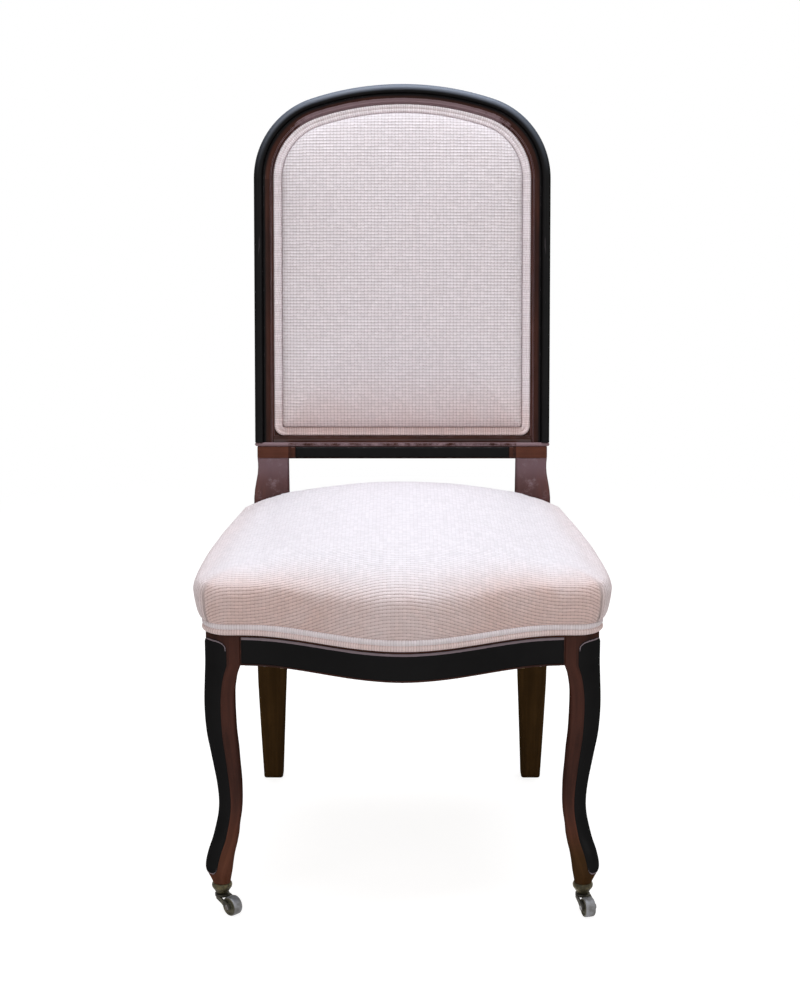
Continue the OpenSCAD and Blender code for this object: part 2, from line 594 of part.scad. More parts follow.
module back_panel() in_back() color(EBONY) translate([0, -base_face, 0])
    raised_strip(with_bevels([[back_panel_end - stile_in, 0], [stile_in - back_panel_end, 0]]), [quirk_w, base_h - quirk_w]);
dowel_at = [face_w, frame_d] * 0.42;
dowel_len = 40;
module crest_dowel(gap = 0)
    translate([back_half - dowel_at[0], -dowel_at[1], spring_line - dowel_len / 2 - gap])
        cylinder(d = dowel_d + 2 * gap, h = dowel_len + 2 * gap, $fn = smooth);
module dowels() in_back() color(BEECH) {
    crest_dowel();
    mirror([1, 0, 0]) crest_dowel();
}
module crest() in_back() color(EBONY) difference() {
    arch(moulding);
    crest_dowel(touch);
    mirror([1, 0, 0]) crest_dowel(touch);
}

// Rear stiles: rear leg, post and moulded upright in one piece
knee_z = rail_bottom_z - 20;
leg_steps = 10;
neck_z = back_bottom_z - 12;
neck_in = 4;
rear_leg_out = stile_out - 3.5;
function rake_at(z) = rear_rake * pow(1 - z / knee_z, 1.6);
function depth_at(z) = mix(rear_foot_d, stile_d, z / knee_z);
// A point of the back frame's section, seen from the side of the chair
function back_point(y, z) =
    [back_y + y * cos(back_tilt) + z * sin(back_tilt), back_bottom_z - y * sin(back_tilt) + z * cos(back_tilt)];
stile_side = concat(
    [for (i = [0 : leg_steps]) let (z = knee_z * i / leg_steps) [seat_depth + rake_at(z), z]],
    [[seat_depth, rail_top_z], [seat_depth + 1, rail_top_z + rail_h * 0.8],
     back_point(-base_face, 0), back_point(-base_face + over, base_h / 2), back_point(-over, base_h / 2), back_point(0, 0),
     [seat_depth + stile_d, rail_top_z + rail_h * 0.5]],
    [for (i = [leg_steps : -1 : 0]) let (z = knee_z * i / leg_steps) [seat_depth + rake_at(z) + depth_at(z), z]]);
stile_front = [
    [rear_leg_out - rear_foot_w, 0], [rear_leg_out, 0], [stile_out, rail_bottom_z / 2], [stile_out, rail_top_z + rail_h * 0.75],
    [back_half - neck_in, neck_z - 8], [back_half - neck_in - 0.5, neck_z], [back_half - base_inset, back_bottom_z],
    [back_half - base_inset, back_bottom_z + base_face], [stile_in, back_bottom_z + base_face],
    [stile_in, rail_bottom_z], [stile_in + 8, rail_bottom_z / 2]];
module stile() color(EBONY) difference() {
    union() {
        intersection() {
            rotate([90, 0, 90]) linear_extrude(height = back_w) polygon(stile_side);
            translate([0, seat_depth * 2, 0]) rotate([90, 0, 0]) linear_extrude(height = seat_depth * 2) polygon(stile_front);
        }
        in_back() {
            block([stile_in, back_half - base_inset], [-base_face, 0], [0, base_h]);
            block([stile_in, back_half], [-ridge_face, 0], [base_h, ridge_top]);
            upright(moulding, [ridge_top, spring_line]);
            across(stile_section, [stile_in, back_half - face_w]);
        }
    }
    tenon_side([seat_depth - over, seat_depth + tenon_len + tenon_gap], tenon_gap);
    tenon_rear(tenon_gap);
    in_back() {
        back_tenon(tenon_gap);
        crest_dowel(touch);
    }
}

// Seat filling: interlaced webbing, five coil springs, twine, hessian, stuffing and cover
web_lift = web_t / 2 + touch;
web_mid_z = rail_bottom_z - web_t / 2 - web_lift - touch;
web_edge_gap = 10; // the outer lengthwise straps to the stiles
long_web_shares = [-1, -1 / 3, 1 / 3, 1];
cross_web_shares = [0.2, 0.4, 0.6, 0.8];
long_web_x = long_web_shares * (stile_in - web_w / 2 - web_edge_gap);
cross_web_y = cross_web_shares * seat_depth;
// A strap's wavy side outline: over and under each strap that it crosses
function strap_points(ends, crossings, first, lift, shift) = concat(
    [[ends[0], lift + shift], [crossings[0] - web_w, lift + shift]],
    flat([for (k = [0 : len(crossings) - 1])
        let (h = (k + first) % 2 == 0 ? lift : -lift)
        [[crossings[k] - web_w / 2 - 2 * web_t, h + shift], [crossings[k] + web_w / 2 + 2 * web_t, h + shift]]]),
    [[crossings[len(crossings) - 1] + web_w, lift + shift], [ends[1], lift + shift]]);
module strap(ends, crossings, first)
    translate([0, web_w / 2, 0]) rotate([90, 0, 0]) linear_extrude(height = web_w)
        polygon(concat(
            strap_points(ends, crossings, first, web_lift, -web_t / 2),
            reversed(strap_points(ends, crossings, first, web_lift, web_t / 2))));
web_on_rail = 9;
module webbing() color(JUTE) {
    for (k = [0 : len(cross_web_y) - 1]) {
        reach = side_line(cross_web_y[k]) - rail_t + web_on_rail;
        translate([0, cross_web_y[k], web_mid_z]) strap([-reach, reach], long_web_x, k);
    }
    for (k = [0 : len(long_web_x) - 1])
        translate([long_web_x[k], 0, web_mid_z]) rotate([0, 0, 90])
            strap([front_y(long_web_x[k]) + rail_t - web_on_rail, rear_y - rear_rail_t + web_on_rail], cross_web_y, k + 1);
}

web_tack_in = 4.5;
web_tack_shares = [-0.32, 0, 0.32];
tack_d = 1.6;
tack_head_d = 5;
tack_head_t = 1;
tack_len = 9;
module tack(z, len) translate([0, 0, z - tack_head_t]) {
    cylinder(d = tack_head_d, h = tack_head_t, $fn = smooth / 4);
    cylinder(d = tack_d, h = len, $fn = smooth / 4);
}
module web_tacks() color(STEEL) {
    z = rail_bottom_z - web_t - 2 * touch;
    for (offset = web_tack_shares * web_w) {
        for (y = cross_web_y, side = [-1, 1])
            translate([side * (side_line(y) - rail_t + web_on_rail - web_tack_in), y + offset, 0]) tack(z, tack_len);
        for (x = long_web_x, y = [front_y(x) + rail_t - web_on_rail + web_tack_in, rear_y - rear_rail_t + web_on_rail - web_tack_in])
            translate([x + offset, y, 0]) tack(z, tack_len);
    }
}

spring_spread = [75, 80];
spring_low = rail_bottom_z + touch;
spring_h = 85;
spring_top = spring_low + spring_h;
spring_turns = 5;
spring_rings = 8;
spring_places = [for (p = [[-1, -1], [1, -1], [0, 0], [-1, 1], [1, 1]])
    [p.x * spring_spread.x, seat_mid_y + p.y * spring_spread.y]];
spring_sides = 6;
// The waisted coil: the turn at each end lies flat and the middle turns are the narrowest
spring_end = 0.9 / spring_turns;
spring_foot = spring_wire_d / 2 * cos(180 / spring_sides);
spring_path = [for (i = [0 : spring_turns * spring_rings])
    let (t = i / (spring_turns * spring_rings), a = 360 * spring_turns * t,
        r = mix(spring_waist_d, spring_d, pow(2 * t - 1, 2)) / 2 - spring_wire_d / 2,
        rise = max(0, min(1, (t - spring_end) / (1 - 2 * spring_end))))
    [r * cos(a), r * sin(a), mix(spring_foot, spring_h - spring_foot, rise)]];
spring_gap = min([for (i = [0 : len(spring_path) - 1], j = [i + spring_rings / 2 : 1 : len(spring_path) - 1])
    norm(spring_path[i] - spring_path[j])]) - spring_wire_d;
echo("least gap between the turns of a spring", spring_gap);
module springs() color(STEEL)
    for (p = spring_places) translate([p.x, p.y, spring_low]) tube(spring_path, spring_wire_d, spring_sides);

twine_z = spring_top + twine_d / 2 + touch;
twine_end_z = rail_top_z - 4 * twine_d;
twine_reach = [spring_spread.x + spring_d / 2, spring_spread.y + spring_d / 2];
module tied(points) tube(points, twine_d, 6);
module twine() color(JUTE) {
    for (x = [-spring_spread.x, 0, spring_spread.x])
        tied([[x, front_y(x) + rail_t + twine_d, twine_end_z], [x, seat_mid_y - twine_reach.y, twine_z],
            [x, seat_mid_y + twine_reach.y, twine_z], [x, rear_y - rear_rail_t - twine_d, twine_end_z]]);
    for (y = [-1, 0, 1] * spring_spread.y + [1, 1, 1] * seat_mid_y) {
        rail_x = side_line(y) - rail_t - twine_d;
        level = twine_z + twine_d + touch;
        tied([[-rail_x, y, twine_end_z], [-twine_reach.x, y, level], [twine_reach.x, y, level],
            [rail_x, y, twine_end_z]]);
    }
}

seat_centre = [0, seat_mid_y];
// Shares of the overhang: kept along the rear edge, gained at the middle of a side, lost at a front corner.
// The front's share grows to a whole one from front_turn of the bow's half to the corner.
front_turn = 0.72;
rear_share = 0.4;
side_share = 0.72;
corner_share = 0.4;
function fullness(p) =
    let (side = abs(p.x) > bow_half - 1 ? sin(180 * max(0, min(1, p.y / rear_y))) : 0,
        away = norm([abs(p.x) - front_half, p.y]) / (corner_r * 1.4), turn = bow_half * front_turn,
        t = p.y > corner_r ? 1 : max(0, min(1, (abs(p.x) - turn) / (front_half - turn))),
        whole = mix(front_share, 1, t * t * (3 - 2 * t)))
    p.y > rear_y - rear_corner_r / 2 ? rear_share : whole + side_share * side - corner_share * exp(-away * away);
seat_normals = [for (i = [0 : seat_n - 1]) [seat_normal(i).x, seat_normal(i).y, fullness(seat_outline[i])]];
hessian_t = 1.2;
hessian_low = rail_top_z + touch;
hessian_top = twine_z + 1.5 * twine_d + 2 * touch + soft_gap;
// Rows are [outset as a share of the rebate, shrink, share of the rise over the springs]
hessian_shares = [[-2, 1, 0], [0, 0.86, 0], [0, 0.8, 0.2], [0, 0.72, 0.62], [0, 0.64, 1], [0, 0.3, 1]];
function hessian_rings(lift) = [for (s = hessian_shares)
    [s[0] * rebate, s[1], mix(hessian_low, hessian_top, s[2]) + lift]];
// Rows are [outset as a share of the overhang, shrink, height as a share of the crown]
crown_shares = [[0.42, 1, 0.035], [0.69, 1, 0.09], [0.87, 1, 0.157], [0.985, 1, 0.253], [1, 1, 0.368], [0.6, 1, 0.488],
    [0.1, 0.985, 0.585], [0, 0.935, 0.692], [0, 0.855, 0.787], [0, 0.73, 0.887], [0, 0.53, 0.952], [0, 0.27, 0.987]];
seat_tuck = rebate - cover_t - touch;
cover_low = show_top_z + seat_welt_d;
cover_bend = show_top_z + 2 * seat_welt_d + soft_gap;
dome_z = mix(cover_bend, rail_top_z + seat_crown, dome_share);
cover_rings = concat([[-seat_tuck, 1, cover_low], [-seat_tuck, 1, cover_bend]],
    [for (s = crown_shares) [s[0] * seat_overhang, s[1], cover_bend + s[2] * (rail_top_z + seat_crown - cover_bend)]]);
mean_reach = seat_front_w * 0.46;
module stile_notches(gap)
    for (side = [-1, 1]) on_side(side)
        block([stile_in - gap, seat_front_w], [seat_depth - gap, seat_depth * 2], [0, overall_h]);
module seat_solid(upper, lower) difference() {
    between(seat_outline, seat_normals, seat_centre, upper, lower, dome = true);
    stile_notches(soft_gap);
}
module hessian() color(JUTE) seat_solid(hessian_rings(hessian_t), hessian_rings(0));
module stuffing() {
    upper = thinner(cover_rings, cover_t + 2 * soft_gap, mean_reach);
    base = hessian_low + hessian_t + soft_gap;
    first = [for (j = [0 : len(upper) - 1]) if (upper[j][2] > base + hessian_t) upper[j]];
    bottom = hessian_rings(hessian_t + soft_gap);
    color(HAIR) seat_solid(
        concat([[first[0][0] - 1.5 * (first[0][2] - base), 1, base]], first),
        concat([[-rebate / 2, 1, base]], [for (j = [1 : len(bottom) - 1]) bottom[j]]));
}
module cover() color(CLOTH) seat_solid(cover_rings, thinner(cover_rings, cover_t, mean_reach));
welt_out = seat_welt_d / 2 - seat_tuck + touch;
welt_sides = 8;
module seat_double_welt() color(CLOTH) difference() {
    for (level = [0.5, 1.5])
        tube([for (i = [0 : seat_n - 1])
            let (p = seat_outline[i] + seat_normal(i) * welt_out) [p.x, p.y, show_top_z + level * seat_welt_d + touch]],
            seat_welt_d, welt_sides, closed = true);
    stile_notches(soft_gap);
}

// Bottom cloth under the webbing, with a tack every few outline points
cloth_t = 1.2;
cloth_in = 13.4;
cloth_z = web_mid_z - web_lift - web_t / 2 - touch - cloth_t;
tack_in = 19;
module cloth() color(BLACK_CLOTH) difference() {
    translate([0, 0, cloth_z]) linear_extrude(height = cloth_t)
        polygon([for (i = [0 : seat_n - 1]) seat_outline[i] - seat_normal(i) * cloth_in]);
    stile_notches(touch);
    for (side = [-1, 1]) on_side(side)
        block([bow_half - soft_gap, seat_front_w], [-front_bow, block_w + soft_gap], [0, overall_h]);
}
function on_strap(p) =
    max([for (x = long_web_x) abs(p.x - x) < web_w / 2 + tack_d
        && p.y > front_y(x) + rail_t - web_on_rail - tack_d && p.y < rear_y - rear_rail_t + web_on_rail + tack_d ? 1 : 0]) > 0
    || max([for (y = cross_web_y) abs(p.y - y) < web_w / 2 + tack_d
        && abs(p.x) < side_line(y) - rail_t + web_on_rail + tack_d ? 1 : 0]) > 0;
tack_spots = [for (i = [0 : seat_n - 1])
    let (p = seat_outline[i] - seat_normal(i) * tack_in)
    if (!on_strap(p) && !(abs(p.x) > stile_in - tack_in && p.y > seat_depth - tack_in)
        && !(abs(p.x) > bow_half - tack_head_d && p.y < block_w + tack_head_d)) p];
module tacks() color(STEEL) for (p = tack_spots) translate([p.x, p.y, 0]) tack(cloth_z - touch, tack_len + 2 * web_t);

// Back filling. The outline follows the inner edge of the moulding, inset by any amount.
pad_corner_r = 13;
pad_steps = 4;
function back_half_outline(inset) =
    let (edge = inset - face_w, w = back_half - inset, low = lower_face_h + edge,
        r = max(pad_corner_r - edge, pad_corner_r / 4))
    concat([[0, low], [w / 2, low]],
        arc([w - r, low + r], r, -90, 0, 2),
        [for (i = [1 : pad_steps]) [w, mix(low + r, spring_line, i / (pad_steps + 1))]],
        arc([back_half - shoulder_r, spring_line], shoulder_r - inset, 0, shoulder_angle, 5),
        [for (i = [1, 2]) (crest_r - inset) * [cos(mix(shoulder_angle, 90, i / 2)), sin(mix(shoulder_angle, 90, i / 2))]
            + [0, spring_line - top_centre_drop]]);
web_low = lip_front + touch;
canvas_low = web_low + 2 * web_t + 2 * touch + soft_gap / 2;
canvas_t = 1.2;
pad_low = canvas_low + canvas_t + touch;
pad_edge = face_w + soft_gap;
pad_start = pad_edge + 2 * back_welt_d + soft_gap;
pad_outline = both_sides(back_half_outline(pad_start));
pad_n = len(pad_outline);
pad_normals = [for (i = [0 : pad_n - 1])
    let (d = pad_outline[(i + 1) % pad_n] - pad_outline[(i + pad_n - 1) % pad_n], s = norm(d)) [d.y / s, -d.x / s, 1]];
pad_centre = [0, spring_line * 0.62];
pad_flange = 2 * back_welt_d;
// Rows are [outset as a share of the welt's width, shrink, height as a share of the crown]
pad_shares = [[1, 1, 0], [0.02, 1, 0], [0, 1, 0.16], [-0.1, 1, 0.32], [-0.1, 0.975, 0.46], [0, 0.9, 0.63],
    [0, 0.72, 0.82], [0, 0.45, 0.95], [0, 0.2, 1]];
cover_face = pad_low + cover_t;
pad_rings = [for (s = pad_shares) [s[0] * pad_flange, s[1], cover_face + s[2] * (lip_front + pad_crown - cover_face)]];
module facing_forward() rotate([90, 0, 0]) children();
module pad_cover() in_back() color(CLOTH) facing_forward()
    between(pad_outline, pad_normals, pad_centre, pad_rings,
        [for (j = [0 : len(pad_rings) - 1]) let (r = thinner(pad_rings, cover_t, back_half)[j])
            j < 2 ? [pad_rings[j][0] - (j == 1 ? cover_t : 0), 1, pad_low] : r]);
module pad_stuffing() in_back() color(HAIR) facing_forward() {
    upper = thinner(pad_rings, cover_t + soft_gap, back_half);
    base = pad_low;
    between(pad_outline, pad_normals, pad_centre,
        concat([[-cover_t - soft_gap, 1, base]], [for (j = [3 : len(upper) - 1]) upper[j]]),
        [[-2 * cover_t, 1, base], [0, 0.5, base]]);
}
module canvas() in_back() color(LINEN) facing_forward()
    translate([0, 0, canvas_low]) linear_extrude(height = canvas_t)
        polygon(both_sides(back_half_outline(face_w + 2 * soft_gap)));
back_web_x = [-0.3, 0.3] * back_half;
back_web_z = [0.3, 0.56, 0.82] * spring_line;
module back_straps() in_back() color(JUTE) facing_forward() {
    mid = web_low + web_t / 2 + web_lift;
    side_end = back_half - face_w - 2;
    for (k = [0 : len(back_web_z) - 1])
        translate([0, back_web_z[k], mid]) strap_low([-side_end, side_end], back_web_x, k);
    for (k = [0 : len(back_web_x) - 1])
        translate([back_web_x[k], 0, mid]) rotate([0, 0, 90])
            strap_low([lower_face_h + 2, frame_len - face_w - web_w * 0.4], back_web_z, k + 1);
}
// The same strap turned over, so that its ends lie on the lip below it
module strap_low(ends, crossings, first)
    mirror([0, 0, 1]) strap(ends, crossings, first);
// A round cord along the closed outline of the back, at an inset and a height
module back_cord(inset, height, d, sides) facing_forward()
    tube([for (p = both_sides(back_half_outline(inset))) [p.x, p.y, height]], d, sides, closed = true);
module back_double_welt() in_back() color(CLOTH)
    for (k = [0.5, 1.5])
        back_cord(pad_edge + k * back_welt_d, cover_face + back_welt_d / 2 + touch, back_welt_d - 2 * touch, welt_sides);
outer_cover_t = 1.5;
module outer_cover() in_back() color(CLOTH) facing_forward()
    translate([0, 0, lip_rear - touch - outer_cover_t]) linear_extrude(height = outer_cover_t)
        polygon(both_sides(back_half_outline(rear_border + soft_gap)));
module outer_welt() in_back() color(CLOTH)
    for (k = [0.5, 1.5])
        back_cord(rear_border + soft_gap + k * back_welt_d, lip_rear - 2 * touch - outer_cover_t - back_welt_d / 2,
            back_welt_d - 2 * touch, welt_sides - 2);

// Casters, drawn on the swivel axis with the wheel trailing towards +X
axle_d = 4;
stem_head_d = 9;
stem_head_t = 0.8;
boss_r = 4.6;
module at_caster(side, yaw)
    translate([side * (front_half - caster_in), caster_in, 0]) rotate([0, 0, yaw]) children();
// The cup's outside, as shares of its rim radius and of its height
cup_shares = [[0.48, 0], [0.56, 0.06], [0.68, 0.2], [0.77, 0.34], [0.87, 0.46], [0.96, 0.58], [1, 0.72], [0.99, 0.84],
    [0.94, 0.94], [0.86, 1]];
module cup() color(BRASS) translate([0, 0, cup_z]) rotate_extrude($fn = smooth)
    polygon(concat([[stem_d / 2 + touch, 0]], [for (s = cup_shares) [s[0] * cup_d / 2, s[1] * cup_h]],
        [[spigot_r + touch, cup_h], [spigot_r + touch, cup_floor - touch], [stem_d / 2 + touch, cup_floor - touch]]));
module stem() color(STEEL) {
    translate([0, 0, horn_plate_z - stem_head_t]) cylinder(d = stem_head_d, h = stem_head_t - touch, $fn = smooth);
    translate([0, 0, horn_plate_z - stem_head_t]) cylinder(d = stem_d, h = cup_z + stem_len - horn_plate_z, $fn = smooth);
}
module horn() color(BRASS) difference() {
    union() {
        translate([0, 0, horn_plate_z]) cylinder(r = horn_r, h = horn_plate_t, $fn = smooth);
        for (side = [-1, 1]) translate([0, side * (horn_r - horn_t / 2) + horn_t / 2, 0]) rotate([90, 0, 0])
            linear_extrude(height = horn_t) {
                translate([caster_trail, wheel_r]) circle(r = boss_r, $fn = smooth);
                polygon([[-boss_r / 4, horn_plate_z + horn_plate_t / 2], [-boss_r / 4, horn_plate_z - horn_t],
                    [caster_trail * 0.45, wheel_r + boss_r * 0.4], [caster_trail - boss_r * 0.85, wheel_r - boss_r * 0.5],
                    [caster_trail + boss_r * 0.7, wheel_r + boss_r * 0.7], [caster_trail * 0.7, horn_plate_z - horn_t / 2],
                    [boss_r, horn_plate_z + horn_plate_t / 2]]);
            }
    }
    translate([0, 0, horn_plate_z - over]) cylinder(d = stem_d + 2 * touch, h = horn_plate_t + 2 * over, $fn = smooth);
    translate([caster_trail, horn_r + over, wheel_r]) rotate([90, 0, 0])
        cylinder(d = axle_d + touch, h = 2 * (horn_r + over), $fn = smooth);
}
module axle() color(STEEL) translate([caster_trail, 0, wheel_r]) rotate([90, 0, 0]) {
    cylinder(d = axle_d, h = 2 * horn_r + axle_d / 4, center = true, $fn = smooth);
    for (side = [-1, 1]) translate([0, 0, side * (horn_r + touch + axle_d / 8)])
        cylinder(d = axle_d * 1.5, h = axle_d / 4, center = true, $fn = smooth);
}
module wheel() color(STEEL) translate([caster_trail, 0, wheel_r]) rotate([90, 0, 0]) rotate_extrude($fn = smooth)
    polygon([[axle_d / 2 + 1.5 * touch, -wheel_w / 2], [wheel_r * 0.36, -wheel_w / 2],
        [wheel_r * 0.42, -wheel_w * 0.4], [wheel_r * 0.72, -wheel_w * 0.4], [wheel_r * 0.78, -wheel_w / 2],
        [wheel_r * 0.93, -wheel_w / 2], [wheel_r * 0.985, -wheel_w * 0.4], [wheel_r, -wheel_w * 0.26],
        [wheel_r, wheel_w * 0.26], [wheel_r * 0.985, wheel_w * 0.4], [wheel_r * 0.93, wheel_w / 2],
        [wheel_r * 0.78, wheel_w / 2], [wheel_r * 0.72, wheel_w * 0.4], [wheel_r * 0.42, wheel_w * 0.4],
        [wheel_r * 0.36, wheel_w / 2], [axle_d / 2 + 1.5 * touch, wheel_w / 2]]);

in_frame() on_side(-1) front_leg();  // front_leg_left
in_frame() front_leg();  // front_leg_right
in_frame() on_side(-1) stile();  // rear_stile_left
in_frame() stile();  // rear_stile_right
in_frame() front_rail();  // front_seat_rail
in_frame() on_side(-1) side_rail();  // side_seat_rail_left
in_frame() side_rail();  // side_seat_rail_right
in_frame() rear_rail();  // rear_seat_rail
in_frame() back_lower_rail();  // back_bottom_rail
in_frame() crest();  // crest_rail
in_frame() dowels();  // crest_dowels
in_frame() on_side(-1) leg_panel();  // leg_panel_left
in_frame() leg_panel();  // leg_panel_right
in_frame() front_panel();  // front_rail_panel
in_frame() on_side(-1) side_panel();  // side_rail_panel_left
in_frame() side_panel();  // side_rail_panel_right
in_frame() back_panel();  // back_rail_panel
in_frame() on_side(-1) brace(front_brace);  // corner_block_front_left
in_frame() brace(front_brace);  // corner_block_front_right
in_frame() on_side(-1) brace(rear_brace);  // corner_block_rear_left
in_frame() brace(rear_brace);  // corner_block_rear_right
in_frame() screws();  // corner_block_screws
in_frame() webbing();  // seat_webbing
in_frame() web_tacks();  // webbing_tacks
in_frame() springs();  // seat_springs
in_frame() twine();  // spring_twine
in_frame() hessian();  // spring_hessian
in_frame() stuffing();  // seat_stuffing
in_frame() cover();  // seat_cover
in_frame() seat_double_welt();  // seat_welt
in_frame() cloth();  // bottom_cloth
in_frame() tacks();  // bottom_cloth_tacks
in_frame() back_straps();  // back_webbing
in_frame() canvas();  // back_canvas
in_frame() pad_stuffing();  // back_stuffing
in_frame() pad_cover();  // back_cover
in_frame() back_double_welt();  // back_welt
in_frame() outer_cover();  // outer_back_cover
in_frame() outer_welt();  // outer_back_welt
in_frame() at_caster(-1, caster_yaw_left) cup();  // caster_cup_left
in_frame() at_caster(-1, caster_yaw_left) stem();  // caster_stem_left
in_frame() at_caster(-1, caster_yaw_left) horn();  // caster_horn_left
in_frame() at_caster(-1, caster_yaw_left) axle();  // caster_axle_left
in_frame() at_caster(-1, caster_yaw_left) wheel();  // caster_wheel_left
in_frame() at_caster(1, caster_yaw_right) cup();  // caster_cup_right
in_frame() at_caster(1, caster_yaw_right) stem();  // caster_stem_right
in_frame() at_caster(1, caster_yaw_right) horn();  // caster_horn_right
in_frame() at_caster(1, caster_yaw_right) axle();  // caster_axle_right
in_frame() at_caster(1, caster_yaw_right) wheel();  // caster_wheel_right
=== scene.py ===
"""An upholstered side chair with a padded, round-shouldered back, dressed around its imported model."""

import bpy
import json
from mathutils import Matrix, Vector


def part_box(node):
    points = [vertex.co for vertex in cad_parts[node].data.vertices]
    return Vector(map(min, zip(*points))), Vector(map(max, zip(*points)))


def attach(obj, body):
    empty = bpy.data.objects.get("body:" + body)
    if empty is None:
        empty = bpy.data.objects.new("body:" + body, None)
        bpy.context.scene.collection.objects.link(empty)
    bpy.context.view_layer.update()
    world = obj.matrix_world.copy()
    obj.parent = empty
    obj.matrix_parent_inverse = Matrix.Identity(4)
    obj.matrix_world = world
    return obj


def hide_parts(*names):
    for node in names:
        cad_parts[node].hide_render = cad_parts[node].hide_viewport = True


bl_info = {
    "name": "Round-shouldered side chair",
    "version": (1, 0, 0),
    "blender": (4, 5, 0),
    "location": "View3D > Sidebar > Chair",
    "description": "Builds the chair's show wood, upholstery, casters and stage around its packed model",
    "category": "Object",
}

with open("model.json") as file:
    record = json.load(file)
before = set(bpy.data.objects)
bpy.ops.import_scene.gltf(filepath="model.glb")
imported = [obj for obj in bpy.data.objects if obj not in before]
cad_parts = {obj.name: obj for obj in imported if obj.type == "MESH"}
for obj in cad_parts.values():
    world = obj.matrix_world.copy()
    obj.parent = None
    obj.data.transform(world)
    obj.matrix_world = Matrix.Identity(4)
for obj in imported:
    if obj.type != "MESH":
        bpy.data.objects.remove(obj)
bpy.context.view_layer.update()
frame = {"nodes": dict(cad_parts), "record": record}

import json
from math import atan2, cos, degrees, pi, radians, sin, sqrt

import bmesh
import bpy
import numpy as np
from bpy.props import FloatProperty, FloatVectorProperty, PointerProperty
from mathutils import Vector, noise

SIDES = {"left": -1, "right": 1}

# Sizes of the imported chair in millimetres. y is measured back from the front faces of the front legs.
OVERALL_H = 980
FRONT_HALF = 236
SEAT_DEPTH = 397
RAIL_BOTTOM = 320
SHOW_TOP = 358
RAIL_TOP = 382
RAIL_T = 24
FRONT_BOW = 65
REBATE = 5
LEG_W = 36
BLOCK_W = LEG_W * 1.2
BOW_HALF = FRONT_HALF - BLOCK_W
CORNER_R = 30
STILE_W = 45
STILE_D = 40
BACK_HALF = 200
STILE_OUT = 202
STILE_IN = BACK_HALF - STILE_W
BACK_BOTTOM = 479
BASE_H = 17
RIDGE_TOP = 22
LOWER_FACE = 31
REAR_LOW = 32
TILT = radians(9)
FRAME_D = 30
FACE_W = 26
SHOULDER_R = 112
CREST_R = 395
BEAD_W = 12
BACK_Y = SEAT_DEPTH + STILE_D - 6
REAR_Y = SEAT_DEPTH + STILE_D - 2
FRAME_RISE = OVERALL_H - BACK_BOTTOM - BEAD_W / 2 - (FRAME_D - BEAD_W / 2) * sin(TILT)
FRAME_LEN = FRAME_RISE / cos(TILT) + BEAD_W / 2
CENTRE_DROP = sqrt((CREST_R - SHOULDER_R) ** 2 - (BACK_HALF - SHOULDER_R) ** 2)
SPRING_LINE = FRAME_LEN - (CREST_R - CENTRE_DROP)
SHOULDER_ANGLE = atan2(CENTRE_DROP, BACK_HALF - SHOULDER_R)
SEAT_OVERHANG = 13.8
FRONT_SHARE = 0.38
MIDDLE_Y = (-FRONT_BOW - SEAT_OVERHANG * FRONT_SHARE + BACK_Y + FRAME_LEN * sin(TILT)) / 2
FOOT_Z = 37.657
CASTER_YAW = {"left": -45, "right": -74}
PANEL_BORDER = 2.5
PANEL_END = 1.25
PANEL_EDGE = 0.4
PANEL_RISE = 1.1
WELT_CORNER_R = 13
WELT_GAP = 0.05
WELT_SIDE = 0.35
SEAT_TUCK = 2.95
STILE_ROOM = 0.15
MM = 0.001
# Marks laid on the meshes. On the cloth, worn carries painted shade. On the wood, worn and arris are wear,
# and arris also carries painted highlights along top edges and a painted sheen on the posts. The gloss mark
# gives a coat and a painted highlight.
MARKS = ("ebony", "arris", "worn", "old", "gloss")


# Shapes, in millimetres

def mix(a, b, t):
    return a + (b - a) * t


def smooth_step(t):
    t = np.clip(t, 0, 1)
    return t * t * (3 - 2 * t)


def lengths(points):
    """Distance along a run of points, from zero."""
    p = np.asarray(points, float)
    return np.concatenate([[0], np.cumsum(np.linalg.norm(np.diff(p, axis=0), axis=1))])


def curve_through(points, per_span):
    """A smooth run of points through the given ones (centripetal Catmull-Rom)."""
    p = np.asarray(points, float)
    p = np.vstack([2 * p[0] - p[1], p, 2 * p[-1] - p[-2]])
    out = []
    for a, b, c, d in zip(p, p[1:], p[2:], p[3:]):
        t1 = max(np.linalg.norm(b - a), 1e-6) ** 0.5
        t2 = t1 + max(np.linalg.norm(c - b), 1e-6) ** 0.5
        t3 = t2 + max(np.linalg.norm(d - c), 1e-6) ** 0.5
        for t in np.linspace(t1, t2, per_span, endpoint=False):
            a1, a2, a3 = mix(a, b, t / t1), mix(b, c, (t - t1) / (t2 - t1)), mix(c, d, (t - t2) / (t3 - t2))
            b1, b2 = mix(a1, a2, t / t2), mix(a2, a3, (t - t1) / (t3 - t1))
            out.append(mix(b1, b2, (t - t1) / (t2 - t1)))
    out.append(p[-2])
    return np.array(out)


def arc(centre, r, start, end, steps):
    a = np.radians(np.linspace(start, end, steps + 1))
    return np.array(centre) + r * np.stack([np.cos(a), np.sin(a)], 1)


def rounded(profile, radius, steps=4):
    """Rounds a closed outline's corners. Also gives how far each point lies on an outer arris, 0 to 1."""
    least_turn = 24
    p = np.asarray(profile, float)
    n = len(p)
    area = sum(p[i - 1][0] * p[i][1] - p[i][0] * p[i - 1][1] for i in range(n))
    out, arris = [], []
    for i in range(n):
        before, here, after = p[i - 1], p[i], p[(i + 1) % n]
        e1, e2 = before - here, after - here
        l1, l2 = np.linalg.norm(e1), np.linalg.norm(e2)
        turn = degrees(atan2(-e1[0] * e2[1] + e1[1] * e2[0], -(e1 @ e2))) * (1 if area > 0 else -1)
        if abs(turn) < least_turn:
            out.append(here)
            arris.append(0)
            continue
        r = min(radius, 0.45 * l1, 0.45 * l2)
        for k in range(steps + 1):
            t = k / steps
            out.append(here + e1 / l1 * r * (1 - t) ** 2 + e2 / l2 * r * t ** 2)
            arris.append(sin(pi * t) if turn > 0 else 0)
    return np.array(out), np.array(arris)


